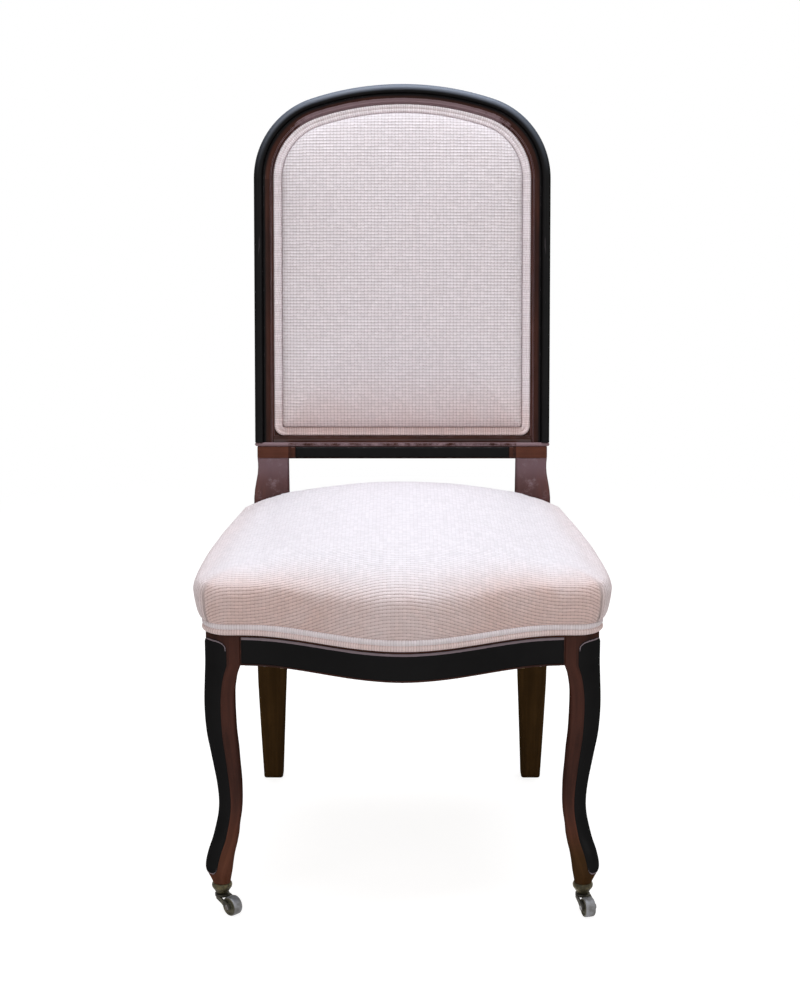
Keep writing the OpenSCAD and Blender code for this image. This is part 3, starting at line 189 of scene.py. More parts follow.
def rounded_rect(x0, x1, y0, y1, r, steps=5):
    corners = [((x1 - r, y0 + r), -90), ((x1 - r, y1 - r), 0),
               ((x0 + r, y1 - r), 90), ((x0 + r, y0 + r), 180)]
    return np.vstack([arc(c, r, a, a + 90, steps) for c, a in corners])


def in_back(points):
    """From the back's own (x, up, forward) to the chair's."""
    x, up, out = np.moveaxis(np.asarray(points, float), -1, 0)
    return np.stack([x, BACK_Y - out * cos(TILT) + up * sin(TILT),
                     BACK_BOTTOM + out * sin(TILT) + up * cos(TILT)], -1)


def grid(points, uv=None, around=False, along=False, caps=False, **marks):
    """A shell over rows of points. uv is in metres and has one more column where it goes around."""
    p = np.asarray(points, float)
    rows, cols = p.shape[:2]
    r, c = np.mgrid[0:rows if along else rows - 1, 0:cols if around else cols - 1]
    corners = [(r, c), (r, c + 1), (r + 1, c + 1), (r + 1, c)]
    quads = np.stack([(i % rows) * cols + j % cols for i, j in corners], -1).reshape(-1, 4)
    faces = quads.tolist()
    if uv is None:
        u = np.concatenate([lengths(p[rows // 2]), [0]])
        u[-1] = u[-2] + np.linalg.norm(p[rows // 2, -1] - p[rows // 2, 0])
        v = lengths(p[:, 0])
        v = np.append(v, v[-1] + np.linalg.norm(p[-1, 0] - p[0, 0]))
        uv = np.stack(np.meshgrid(u, v), -1) * MM
    uv = np.asarray(uv, float)
    loops = np.stack([uv[i, j] for i, j in corners], -2).reshape(-1, 2)
    if caps:
        faces += [list(range(cols)), list(range((rows - 1) * cols, rows * cols))]
        loops = np.vstack([loops, uv[0, :cols], uv[rows - 1, :cols]])
    values = {name: np.broadcast_to(value, (rows, cols)).reshape(-1) for name, value in marks.items()}
    return {"co": p.reshape(-1, 3), "faces": faces, "uv": loops, "marks": values}


def mirrored(shell):
    return dict(shell, co=shell["co"] * (-1, 1, 1))


def on_side(shells, side):
    """Shells made for the right side of the chair, mirrored where they go on the left."""
    return [mirrored(s) for s in shells] if side < 0 else shells


def level_ring(points, height):
    """Plan points at one height."""
    return np.column_stack([points, np.full(len(points), height)])


def section_at(profile, x):
    """A section's points at one place across the chair."""
    return np.column_stack([np.full(len(profile), x), profile])


def build(name, shells, slot, replaces, finish=None, body="chair", sharp=38):
    """Makes one object out of shells, places it in the row's frame and lets it ride on its body.

    finish names its material where that isn't the slot's own.
    """
    faces, first = [], 0
    for s in shells:
        faces += [[i + first for i in f] for f in s["faces"]]
        first += len(s["co"])
    co = np.vstack([s["co"] for s in shells])
    mesh = bpy.data.meshes.new(name)
    mesh.from_pydata((co - (0, MIDDLE_Y, 0)) * MM, [], faces)
    layer = mesh.uv_layers.new(name="UVMap")
    layer.data.foreach_set("uv", np.vstack([s["uv"] for s in shells]).ravel())
    for key in MARKS:
        values = np.concatenate([s["marks"].get(key, np.zeros(len(s["co"]))) for s in shells])
        mesh.attributes.new(key, "FLOAT", "POINT").data.foreach_set("value", values)
    bm = bmesh.new()
    bm.from_mesh(mesh)
    bmesh.ops.remove_doubles(bm, verts=bm.verts, dist=1e-7)
    bmesh.ops.recalc_face_normals(bm, faces=bm.faces)
    bm.to_mesh(mesh)
    bm.free()
    mesh.polygons.foreach_set("use_smooth", np.ones(len(mesh.polygons), bool))
    mesh.set_sharp_from_angle(angle=radians(sharp))
    mesh.materials.append(MATERIALS[finish or slot])
    piece = bpy.data.objects.new(name, mesh)
    bpy.context.scene.collection.objects.link(piece)
    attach(piece, body)
    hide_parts(*replaces)
    return piece


# The plan of the seat

def front_y(x):
    return -FRONT_BOW * (1 + np.cos(pi * np.minimum(1, np.abs(x) / BOW_HALF))) / 2


def side_line(y):
    return mix(FRONT_HALF, STILE_OUT, (y - BLOCK_W) / (SEAT_DEPTH - BLOCK_W))


def seat_plan():
    """The seat's outline at the rails, with the outward normal at each point."""
    r = 10
    x = np.linspace(0, BOW_HALF, 50)
    y = np.linspace(BLOCK_W, REAR_Y - r, 86)
    half = np.vstack([np.stack([x, front_y(x)], 1),
                      arc((FRONT_HALF - CORNER_R, CORNER_R), CORNER_R, -90, 0, 14),
                      np.stack([side_line(y), y], 1),
                      arc((side_line(REAR_Y - r) - r, REAR_Y - r), r, 8, 90, 5),
                      np.stack([np.linspace(STILE_IN + 20, 0, 40), np.full(40, REAR_Y)], 1)])
    line = np.vstack([half, (half * (-1, 1))[-2:0:-1]])
    step = np.roll(line, -1, 0) - np.roll(line, 1, 0)
    normal = np.stack([step[:, 1], -step[:, 0]], 1)
    return line, normal / np.linalg.norm(normal, axis=1)[:, None]


# The back frame's outer edge as a path in the back's own plane, from right to left

def arch_path():
    a = degrees(SHOULDER_ANGLE)
    right = arc((BACK_HALF - SHOULDER_R, SPRING_LINE), SHOULDER_R, 0, a, 26)
    top = arc((0, SPRING_LINE - CENTRE_DROP), CREST_R, a, 180 - a, 60)
    path = np.vstack([right, top[1:-1], (right * (-1, 1))[::-1]])
    step = np.gradient(path, axis=0)
    inward = np.stack([-step[:, 1], step[:, 0]], 1)
    return path, inward / np.linalg.norm(inward, axis=1)[:, None]


def back_path(inset, per=6):
    """A closed path inside the moulding, at an inset from the frame's outer edge."""
    low = LOWER_FACE + inset - FACE_W
    r = max(WELT_CORNER_R - (inset - FACE_W), 3.5)
    w = BACK_HALF - inset
    a = degrees(SHOULDER_ANGLE)
    half = np.vstack([np.stack([np.linspace(0, w - r - 4, 30), np.full(30, low)], 1),
                      arc((w - r, low + r), r, -90, 0, 8),
                      np.stack([np.full(40, w), np.linspace(low + r + 4, SPRING_LINE - 4, 40)], 1),
                      arc((BACK_HALF - SHOULDER_R, SPRING_LINE), SHOULDER_R - inset, 0, a, 18),
                      arc((0, SPRING_LINE - CENTRE_DROP), CREST_R - inset, a, 90, 24)[1:]])
    line = np.vstack([half, (half * (-1, 1))[-2:0:-1]])
    step = np.roll(line, -1, 0) - np.roll(line, 1, 0)
    normal = np.stack([step[:, 1], -step[:, 0]], 1)
    return line, normal / np.linalg.norm(normal, axis=1)[:, None]


# Section of the moulded frame: distance in from the outer edge, and height over the rear face
BEAD_R = BEAD_W / 2
BEAD_FOOT = 23.7
COVE_START, COVE_END = 13, 21.5
COVE_DROPS = (4.5, 8.5)
STEP_W, STEP_FACE = 23.5, 22.7
LEDGE_FACE = 20.5
REBATE_FLOOR = 10
WEB_W = 45
REAR_RECESS = 4
REAR_RIM = 29
BASE_FACE = 26
FILLET_FACE = 27.5
RIDGE_FACE = FRAME_D - COVE_DROPS[0]


def cove(start, end, shares):
    """A hollow that falls away from its outer edge."""
    return [(mix(start, end, t), FRAME_D - mix(*COVE_DROPS, 1 - (1 - t) ** 2)) for t in shares]


LOWER_LIP = LOWER_FACE - 2
LOWER_COVE = cove(RIDGE_TOP, LOWER_LIP, np.linspace(0.2, 1, 5))
LOWER_COVE += [(LOWER_LIP, LEDGE_FACE), (LOWER_FACE, LEDGE_FACE), (LOWER_FACE, REBATE_FLOOR),
               (WEB_W, REBATE_FLOOR), (WEB_W, REAR_RECESS), (REAR_LOW, REAR_RECESS), (REAR_LOW, 0)]
MOULDING = [(0, 0)] + [tuple(p) for p in arc((BEAD_R, FRAME_D - BEAD_R), BEAD_R, 180, 20, 18)]
MOULDING += [(BEAD_W, BEAD_FOOT), (COVE_START, BEAD_FOOT)] + cove(COVE_START, COVE_END, np.linspace(0, 1, 7))
MOULDING += [(COVE_END, STEP_FACE), (STEP_W, STEP_FACE), (STEP_W, LEDGE_FACE), (FACE_W, LEDGE_FACE),
             (FACE_W, REBATE_FLOOR), (WEB_W, REBATE_FLOOR), (WEB_W, REAR_RECESS), (REAR_RIM, REAR_RECESS),
             (REAR_RIM, 0)]


def section_marks(profile):
    """The outer side, the bead and the cove's near edge are ebonised; the rest of the moulding is brown."""
    d = profile[:, 0]
    return 1 - smooth_step((d - BEAD_W - 2) / 3)


def sweep_in_back(path, inward, profile, arris, ebony):
    """The moulding along a path. Where it faces up, its bead gets a coat and a painted highlight, and its
    fillet a painted highlight in the colour of rubbed polish.
    """
    bead_lit, bead_low = 4.5, 12
    fillet_in, fillet_low = 18.4, 15
    up = np.clip(-inward[:, 1:], 0, 1)
    d, height = profile[:, 0], profile[:, 1]
    # Painted highlight on the bead where the arch faces up, with a coat over it
    gloss = up ** 1.6 * ((1 - smooth_step((d - bead_lit) / bead_lit)) * (height > bead_low))
    # Painted highlight along the fillet where the arch faces up, laid in the rubbed colour
    rubbed = up ** 2 * 1.1 * ((d > fillet_in) & (height > fillet_low))
    arris = np.maximum(arris * np.ones((len(path), 1)), rubbed)
    points = np.concatenate([path[:, None] + inward[:, None] * profile[None, :, :1],
                             np.broadcast_to(profile[None, :, 1:], (len(path), len(profile), 1))], -1)
    return grid(in_back(points), around=True, caps=True, ebony=ebony, arris=arris, gloss=gloss)


# Materials

def shader_group(name, inputs, outputs, fill):
    """A node group with the given sockets, filled in by a function."""
    tree = bpy.data.node_groups.new(name, "ShaderNodeTree")
    for label, kind, value in inputs:
        socket = tree.interface.new_socket(label, in_out="INPUT", socket_type=kind)
        if value is not None:
            socket.default_value = value
    for label, kind in outputs:
        tree.interface.new_socket(label, in_out="OUTPUT", socket_type=kind)
    nodes = Nodes(tree)
    fill(nodes, nodes.add("NodeGroupInput"), nodes.add("NodeGroupOutput"))
    return tree


class Nodes:
    """Short ways to add and link shader nodes."""

    def __init__(self, tree):
        self.tree = tree

    def add(self, kind, **settings):
        node = self.tree.nodes.new(kind)
        for key, value in settings.items():
            setattr(node, key, value)
        return node

    def put(self, socket, value):
        if isinstance(value, bpy.types.NodeSocket):
            self.tree.links.new(value, socket)
        elif value is not None:
            socket.default_value = value

    def math(self, operation, a, b=None, c=None, clamp=False):
        node = self.add("ShaderNodeMath", operation=operation, use_clamp=clamp)
        for socket, value in zip(node.inputs, (a, b, c)):
            self.put(socket, value)
        return node.outputs[0]

    def vector(self, operation, a, b=None):
        node = self.add("ShaderNodeVectorMath", operation=operation)
        self.put(node.inputs[0], a)
        self.put(node.inputs[1], b)
        return node.outputs["Value" if operation == "LENGTH" else "Vector"]

    def noise(self, vector, scale, detail=3, roughness=0.5, distortion=0):
        node = self.add("ShaderNodeTexNoise")
        for key, value in (("Vector", vector), ("Scale", scale), ("Detail", detail), ("Roughness", roughness),
                           ("Distortion", distortion)):
            self.put(node.inputs[key], value)
        return node.outputs["Fac"]

    def ramp(self, value, low, high, start=0, end=1, smooth=True):
        node = self.add("ShaderNodeMapRange", interpolation_type="SMOOTHSTEP" if smooth else "LINEAR")
        ends = (("Value", value), ("From Min", low), ("From Max", high), ("To Min", start), ("To Max", end))
        for key, v in ends:
            self.put(node.inputs[key], v)
        return node.outputs[0]

    def blend(self, factor, a, b, mode="MIX"):
        node = self.add("ShaderNodeMix", data_type="RGBA", blend_type=mode)
        self.put(node.inputs[0], factor)
        self.put(node.inputs[6], a)
        self.put(node.inputs[7], b)
        return node.outputs[2]

    def group(self, tree, **values):
        node = self.add("ShaderNodeGroup")
        node.node_tree = tree
        for key, value in values.items():
            self.put(node.inputs[key.replace("_", " ")], value)
        return node.outputs


def wood_grain(n, given, result):
    """Streaks and pores along the second axis of the coordinates."""
    stretched = n.vector("MULTIPLY", given.outputs["Coordinates"], (1, 0.06, 0.3))
    wavy = n.noise(stretched, 90, 4, 0.6, 0.4)
    pores = n.noise(n.vector("MULTIPLY", given.outputs["Coordinates"], (1, 0.02, 1)), 1500, 2, 0.7)
    broad = n.noise(given.outputs["Coordinates"], 14, 2)
    figure = n.math("ADD", n.math("MULTIPLY", wavy, 0.65), n.math("MULTIPLY", broad, 0.35))
    n.put(result.inputs["Figure"], figure)
    n.put(result.inputs["Pores"], n.ramp(pores, 0.6, 0.75))


def edge_wear(n, given, result):
    """Where an arris is rubbed through, in uneven patches, and a few fine scratches."""
    patches = n.noise(given.outputs["Coordinates"], 60, 5, 0.65)
    fine = n.noise(given.outputs["Coordinates"], 900, 2, 0.6)
    uneven = n.math("ADD", n.math("MULTIPLY", patches, 0.9), n.math("MULTIPLY", fine, 0.35))
    rubbed = n.math("ADD", n.math("MULTIPLY", given.outputs["Arris"], given.outputs["Amount"]),
                    n.math("SUBTRACT", uneven, 1.1))
    n.put(result.inputs["Rubbed"], n.ramp(rubbed, 0.02, 0.3))
    thin = n.noise(n.vector("MULTIPLY", given.outputs["Coordinates"], (1, 0.05, 0.4)), 240, 3, 0.6)
    n.put(result.inputs["Scratches"], n.ramp(thin, 0.69, 0.74))


def surface_dust(n, given, result):
    """A faint dull film, thicker where a surface faces up."""
    up = n.add("ShaderNodeSeparateXYZ")
    n.put(up.inputs[0], n.add("ShaderNodeNewGeometry").outputs["Normal"])
    cloud = n.noise(given.outputs["Coordinates"], 35, 4, 0.6)
    upward = n.ramp(up.outputs[2], -0.4, 1, 0.15, 1)
    n.put(result.inputs["Film"], n.math("MULTIPLY", n.ramp(cloud, 0.3, 0.8), upward))


def basket_weave(n, given, result):
    """Rows of slubby yarn crossed by finer uprights, from flat coordinates in metres."""
    at = given.outputs["Coordinates"]
    slow = n.noise(at, 60, 2)
    parts = n.add("ShaderNodeSeparateXYZ")
    n.put(parts.inputs[0], at)
    drift = n.math("MULTIPLY", n.math("SUBTRACT", slow, 0.5), 0.0014)
    wobble = n.math("MULTIPLY", n.math("SUBTRACT", n.noise(at, 420, 2), 0.5), 0.001)
    shift = n.math("ADD", drift, wobble)
    a = n.math("DIVIDE", n.math("ADD", parts.outputs[0], shift), given.outputs["Column Pitch"])
    b = n.math("DIVIDE", n.math("ADD", parts.outputs[1], shift), given.outputs["Row Pitch"])
    across = n.math("ABSOLUTE", n.math("SINE", n.math("MULTIPLY", a, pi)))
    down = n.math("ABSOLUTE", n.math("SINE", n.math("MULTIPLY", b, pi)))
    between_rows = n.ramp(down, 0.0, 0.62, 1, 0)
    between_columns = n.ramp(across, 0.0, 0.55, 1, 0)
    gap = n.math("ADD", n.math("MULTIPLY", between_rows, n.math("MULTIPLY_ADD", between_columns, 0.6, 0.44)),
                 n.math("MULTIPLY", between_columns, given.outputs["Uprights"]))
    cell = n.add("ShaderNodeCombineXYZ")
    n.put(cell.inputs[0], n.math("FLOOR", a))
    n.put(cell.inputs[1], n.math("FLOOR", b))
    tint = n.add("ShaderNodeTexWhiteNoise", noise_dimensions="2D")
    n.put(tint.inputs["Vector"], cell.outputs[0])
    slub = n.noise(n.vector("MULTIPLY", at, (1, 4.5, 1)), 150, 3, 0.7)
    fuzz = n.noise(at, 2600, 2, 0.7)
    roundness = n.math("MULTIPLY_ADD", n.math("POWER", across, 0.5), 0.3, 0.7)
    yarn = n.math("MULTIPLY", n.math("POWER", down, 0.55), roundness)
    n.put(result.inputs["Height"], n.math("ADD", yarn, n.math("MULTIPLY", fuzz, 0.22)))
    uneven = n.math("MULTIPLY_ADD", slub, 1.2, 0.35)
    n.put(result.inputs["Gap"], n.math("MULTIPLY", gap, uneven, clamp=True))
    streak = n.math("MULTIPLY_ADD", slub, 0.6, -0.15)
    dyed = n.math("ADD", n.math("MULTIPLY", tint.outputs["Value"], 0.75), streak, clamp=True)
    n.put(result.inputs["Tint"], dyed)


def aged_metal(n, given, result):
    """Tarnish in patches, and rubbed spots that stay bright."""
    patches = n.noise(given.outputs["Coordinates"], 130, 5, 0.65)
    fine = n.noise(given.outputs["Coordinates"], 1400, 3, 0.6)
    n.put(result.inputs["Tarnish"], n.ramp(patches, 0.35, 0.65))
    n.put(result.inputs["Grain"], fine)


VECTOR, FLOAT = "NodeSocketVector", "NodeSocketFloat"
GROUPS = {}


def make_groups():
    plan = {
        "Wood grain": ([("Coordinates", VECTOR, None)], [("Figure", FLOAT), ("Pores", FLOAT)], wood_grain),
        "Edge wear": ([("Coordinates", VECTOR, None), ("Arris", FLOAT, 0), ("Amount", FLOAT, 0.8)],
                      [("Rubbed", FLOAT), ("Scratches", FLOAT)], edge_wear),
        "Surface dust": ([("Coordinates", VECTOR, None)], [("Film", FLOAT)], surface_dust),
        "Basket weave": ([("Coordinates", VECTOR, None), ("Column Pitch", FLOAT, 0.0046),
                          ("Row Pitch", FLOAT, 0.0042), ("Uprights", FLOAT, 0.2)],
                         [("Height", FLOAT), ("Gap", FLOAT), ("Tint", FLOAT)], basket_weave),
        "Aged metal": ([("Coordinates", VECTOR, None)], [("Tarnish", FLOAT), ("Grain", FLOAT)], aged_metal),
    }
    for name, (inputs, outputs, fill) in plan.items():
        GROUPS[name] = shader_group(name, inputs, outputs, fill)


def new_material(name, roughness, coat_roughness=0.2, specular=0.5, metallic=0.0, sheen=0.0):
    material = bpy.data.materials.new(name)
    material.use_nodes = True
    n = Nodes(material.node_tree)
    shader = next(x for x in material.node_tree.nodes if x.type == "BSDF_PRINCIPLED")
    for key, value in (("Roughness", roughness), ("Coat Roughness", coat_roughness), ("Metallic", metallic),
                       ("Specular IOR Level", specular), ("Sheen Weight", sheen)):
        shader.inputs[key].default_value = value
    return material, n, shader


def shade(colour, share=1.0):
    """A colour made lighter or darker, with the fourth value that a socket takes."""
    return (*(min(1, c * share) for c in colour), 1)


def bump(n, shader, height, distance, strength=1.0):
    node = n.add("ShaderNodeBump")
    node.inputs["Distance"].default_value = distance
    node.inputs["Strength"].default_value = strength
    n.put(node.inputs["Height"], height)
    n.put(shader.inputs["Normal"], node.outputs[0])


def coordinates(n, source="UV"):
    return n.add("ShaderNodeTexCoord").outputs[source]


def mark(n, name):
    return n.add("ShaderNodeAttribute", attribute_name=name).outputs["Fac"]


def show_wood(name, look, ebony=None, space="UV", wear=0.8, polish=0.2):
    """Brown French polish that turns ebonised where the mesh is marked so, worn along its arrises, with a
    painted highlight where the mesh is marked as glossy.
    """
    material, n, shader = new_material(name, 0.4, coat_roughness=0.22, specular=0.0)
    at = coordinates(n, space)
    grain = n.group(GROUPS["Wood grain"], Coordinates=at)
    worn = n.group(GROUPS["Edge wear"], Coordinates=at, Arris=mark(n, "arris"), Amount=wear)
    dust = n.group(GROUPS["Surface dust"], Coordinates=at)
    figure = n.ramp(grain["Figure"], 0.35, 0.68)
    aged, gloss = mark(n, "old"), mark(n, "gloss")
    brown = n.blend(figure, shade(look.brown_dark), shade(look.brown))
    warm = n.blend(figure, shade(look.worn_brown, 0.55), shade(look.worn_brown))
    brown = n.blend(mark(n, "worn"), brown, warm)
    brown = n.blend(aged, brown, n.blend(figure, shade(look.old_brown, 0.6), shade(look.old_brown)))
    brown = n.blend(n.math("MULTIPLY", grain["Pores"], 0.5), brown, shade(look.brown_dark))
    # Painted reflection on the brown, where the gloss mark lies
    brown = n.blend(gloss, brown, shade(look.painted_highlight_brown))
    brown = n.blend(worn["Rubbed"], brown, shade(look.rubbed_and_highlight_brown))
    black = n.blend(n.math("MULTIPLY", grain["Figure"], 0.4), shade(look.ebony), shade(look.ebony_light))
    black = n.blend(worn["Rubbed"], black, shade(look.rubbed_and_highlight_black))
    black = n.blend(n.math("MULTIPLY", worn["Scratches"], 0.16), black, shade(look.rubbed_and_highlight_black))
    # Painted highlight on the ebonised polish, where the gloss mark lies
    black = n.blend(gloss, black, shade(look.painted_highlight_black))
    colour = n.blend(mark(n, "ebony") if ebony is None else ebony, brown, black)
    dust_colour = (0.4, 0.37, 0.36)
    colour = n.blend(n.math("MULTIPLY", dust["Film"], 0.012), colour, shade(dust_colour))
    n.put(shader.inputs["Base Color"], colour)
    rough = n.math("ADD", 0.24, n.math("MULTIPLY", grain["Figure"], 0.14))
    rough = n.math("ADD", rough, n.math("MULTIPLY", aged, 0.3))
    rough = n.math("ADD", rough, n.math("MULTIPLY", worn["Rubbed"], 0.3))
    n.put(shader.inputs["Roughness"], n.math("ADD", rough, n.math("MULTIPLY", dust["Film"], 0.12)))
    # The polish shines where it is seen square on, so that the edges of the legs stay dark
    facing = n.add("ShaderNodeLayerWeight")
    facing.inputs["Blend"].default_value = 0.5
    toward = n.math("POWER", n.math("SUBTRACT", 1, facing.outputs["Facing"]), 1.6)
    toward = n.math("MULTIPLY", toward, n.math("MULTIPLY_ADD", aged, -0.8, 1))
    coat = n.math("MULTIPLY_ADD", gloss, 0.6, polish)
    n.put(shader.inputs["Coat Weight"], n.math("MULTIPLY", coat, toward))
    height = n.math("ADD", n.math("MULTIPLY", grain["Pores"], -0.4), n.math("MULTIPLY", grain["Figure"], 0.5))
    bump(n, shader, n.math("ADD", height, n.math("MULTIPLY", worn["Rubbed"], -0.8)), 0.00015)
    return material


def woven(name, colour, shadow, column, row, depth=0.0006, space="UV", shade_tint=None, uprights=0.2):
    """Coarse woven cloth with painted shade between its threads, darkened and warmed by painted shade where
    the mesh is marked as worn.
    """
    material, n, shader = new_material(name, 0.92, specular=0.2, sheen=0.1)
    shader.inputs["Sheen Roughness"].default_value = 0.5
    at = coordinates(n, space)
    weave = n.group(GROUPS["Basket weave"], Coordinates=at, Column_Pitch=column, Row_Pitch=row,
                    Uprights=uprights)
    lit = n.blend(weave["Tint"], shade(colour, 0.92), shade(colour, 1.06))
    # Painted shade between the threads, deeper where the worn mark lays painted shade
    gap_shade_depth = n.math("MULTIPLY_ADD", mark(n, "worn"), 0.9, 0.85)
    cloth = n.blend(n.math("MULTIPLY", weave["Gap"], gap_shade_depth, clamp=True), lit, shade(shadow))
    if shade_tint:
        # Painted shade multiplied into the cloth in uneven patches where the worn mark lies
        patches = n.math("MULTIPLY_ADD", n.noise(at, 25, 3), 0.7, 0.62)
        shaded = n.math("MULTIPLY", mark(n, "worn"), patches, clamp=True)
        cloth = n.blend(shaded, cloth, shade(shade_tint), mode="MULTIPLY")
    n.put(shader.inputs["Base Color"], cloth)
    n.put(shader.inputs["Roughness"], n.math("MULTIPLY_ADD", weave["Tint"], 0.1, 0.84))
    bump(n, shader, weave["Height"], depth)
    return material


def metal(name, colour, tarnished, roughness=0.42, tread=None):
    """Metal with tarnish in patches, brighter where the mesh is marked as a wheel's tread."""
    material, n, shader = new_material(name, roughness, metallic=1.0, specular=0.5)
    aged = n.group(GROUPS["Aged metal"], Coordinates=coordinates(n, "Object"))
    finish = n.blend(aged["Tarnish"], shade(colour), shade(tarnished))
    if tread:
        bright = n.blend(n.math("MULTIPLY", aged["Tarnish"], 0.4), shade(tread), shade(colour))
        finish = n.blend(mark(n, "tread"), finish, bright)
    n.put(shader.inputs["Base Color"], finish)
    n.put(shader.inputs["Roughness"], n.math("MULTIPLY_ADD", aged["Tarnish"], 0.25, roughness))
    n.put(shader.inputs["Metallic"], n.math("MULTIPLY_ADD", aged["Tarnish"], -0.35, 1.0))
    bump(n, shader, aged["Grain"], 0.0001)
    return material


def raw_wood(name, colour):
    material, n, shader = new_material(name, 0.7, specular=0.3)
    grain = n.group(GROUPS["Wood grain"], Coordinates=coordinates(n, "Object"))
    n.put(shader.inputs["Base Color"], n.blend(grain["Figure"], shade(colour, 0.75), shade(colour)))
    bump(n, shader, grain["Pores"], 0.0001)
    return material


def fibre(name, colour):
    material, n, shader = new_material(name, 0.9, specular=0.2)
    at = coordinates(n, "Object")
    strands = n.noise(n.vector("MULTIPLY", at, (1, 0.3, 0.6)), 700, 4, 0.7, 1.5)
    n.put(shader.inputs["Base Color"], n.blend(strands, shade(colour, 0.5), shade(colour)))
    bump(n, shader, strands, 0.001)
    return material


MATERIALS = {}


def make_materials(look, sizes):
    make_groups()
    column, row = sizes.weave_column, sizes.weave_row
    # gap is the painted shade between the threads, and the third colour the painted shade multiplied into the
    # cloth
    cloth, gap, shade_tint = tuple(look.cloth), tuple(look.cloth_gap_shade), tuple(look.cloth_shade_tint)
    welt_cloth = shade(cloth, 1.06)[:3]
    MATERIALS.update({
        "brown": show_wood("Brown polish", look),
        "ebonised": show_wood("Ebonised polish", look, ebony=1.0, wear=1.0, polish=0.16),
        "brown cad": show_wood("Brown polish, inner", look, ebony=0.0, space="Object"),
        "upholstery": woven("Off-white basket weave", cloth, gap, column, row, shade_tint=shade_tint, uprights=0.3),
        "seat cloth": woven("Off-white basket weave of the seat", cloth, gap, column, row, shade_tint=shade_tint,
                            uprights=0.06),
        "welt": woven("Off-white welt", welt_cloth, gap, 0.02, row * 0.75, 0.0004, shade_tint=shade_tint),
        "beech": raw_wood("Raw beech", (0.52, 0.37, 0.22)),
        "jute": woven("Jute web", (0.5, 0.37, 0.2), (0.14, 0.09, 0.04), 0.003, 0.003, 0.0004, space="Object"),
        "hessian": woven("Hessian", (0.55, 0.44, 0.28), (0.15, 0.1, 0.05), 0.0022, 0.0022, 0.0003,
                         space="Object"),
        "horsehair": fibre("Curled hair", (0.12, 0.09, 0.075)),
        "black_cloth": woven("Black dust cloth", (0.022, 0.022, 0.024), (0.008, 0.008, 0.008), 0.0012, 0.0012,
                             0.0002),
        "steel": metal("Blued steel", (0.35, 0.35, 0.36), (0.12, 0.1, 0.09)),
        "spring_steel": metal("Coppered spring wire", (0.45, 0.27, 0.17), (0.2, 0.14, 0.1)),
        "brass": metal("Aged brass", (0.12, 0.1, 0.052), (0.045, 0.039, 0.022)),
        "dark_brass": metal("Blackened brass", (0.1, 0.09, 0.065), (0.035, 0.032, 0.026)),
        "wheel_brass": metal("Worn wheel brass", (0.11, 0.1, 0.065), (0.05, 0.047, 0.034), 0.5,
                             (0.23, 0.23, 0.245)),
    })


# Upholstery

# Rows of a padded surface from its rim to its crown: how far the row stands out from the outline, the share
# of the outline's size that it keeps, and its height
SEAT_ROWS = [(-SEAT_TUCK, 1, 365.2), (-SEAT_TUCK, 1, 370.5), (0.3, 1, 372.5), (3.2, 1, 371.6),
             (6.4, 1, 373.4), (9.7, 1, 378.6), (12, 1, 386), (13.6, 1, 396.6), (SEAT_OVERHANG, 1, 407.4),
             (8.3, 1, 418.7), (1.4, 0.985, 427.9), (0, 0.935, 437.9), (0, 0.855, 447), (0, 0.73, 456.3),
             (0, 0.53, 462.5), (0, 0.27, 465.9), (0, 0.08, 466.9), (0, 0.004, 467)]
PAD_BASE = 16.8
PAD_ROWS = [(11.6, 1, PAD_BASE), (6, 1, PAD_BASE), (0.6, 1, 17.4), (0, 1, 21.4), (-0.8, 1, 26.1),
            (-0.4, 0.975, 30.6), (0, 0.9, 35.4), (0, 0.72, 40.8), (0, 0.45, 44.6), (0, 0.2, 45.8),
            (0, 0.05, 46), (0, 0.003, 46)]
REAR_CLOTH_ROWS = [(0, 1, 3.6), (0, 0.96, 3.5), (0, 0.8, 3.2), (0, 0.5, 2.9), (0, 0.2, 2.8), (0, 0.004, 2.8)]
DUST_CLOTH_ROWS = [(0, 1, 0), (0, 0.93, 0.1), (0, 0.8, -0.6), (0, 0.5, -1.6), (0, 0.2, -2.2),
                   (0, 0.004, -2.3)]
SEAT_CENTRE = np.array([0, SEAT_DEPTH / 2])
PAD_CENTRE = np.array([0, SPRING_LINE * 0.62])
PAD_INSET = FACE_W + 0.3 + 11.9
# Above this level the seat rises to the middle and falls to both sides
DOME_Z = 419.14
DOME_RISE = 0.067
DOME_FALL = 0.42
DOME_FAR = 1.25
# Shares of the overhang: kept at the rear, gained at the middle of a side, lost at a front corner
REAR_SHARE = 0.4
SIDE_SHARE = 0.72
CORNER_SHARE = 0.4


def cloth_rings(line, normal, centre, rows, per_span, share=None, lay=None):
    """Points of a padded surface and the flat coordinates of the cloth that covers it, from rim to crown.

    lay gives the way in which the flat cloth runs over the edge at each point, so that the weave stays
    straight there. reach is what a row that shrinks to nothing counts for in millimetres when the rows are
    joined.
    """
    reach = 220
    rows = np.array(rows, float)
    path = curve_through(rows * (1, reach, 1), per_span) / (1, reach, 1)
    share = np.ones(len(line)) if share is None else share
    lay = normal if lay is None else lay
    spoke = line - centre
    points = []
    for out, shrink, height in path:
        keep = np.where(out > 0, share, 1)[:, None]
        plan = centre + spoke * shrink + normal * out * keep
        points.append(level_ring(plan, height))
    points = np.array(points)
    flat = np.zeros((len(path), len(line), 2))
    flat[-1] = points[-1, :, :2]
    for j in range(len(path) - 2, -1, -1):
        move = points[j] - points[j + 1]
        step = np.linalg.norm(move, axis=1)[:, None]
        plan = move[:, :2] * np.where((move[:, :2] * normal).sum(1) > 0, 1, 0)[:, None]
        flat[j] = flat[j + 1] + plan + lay * (step - np.linalg.norm(plan, axis=1)[:, None])
    return points, np.concatenate([flat, flat[:, :1]], 1) * MM


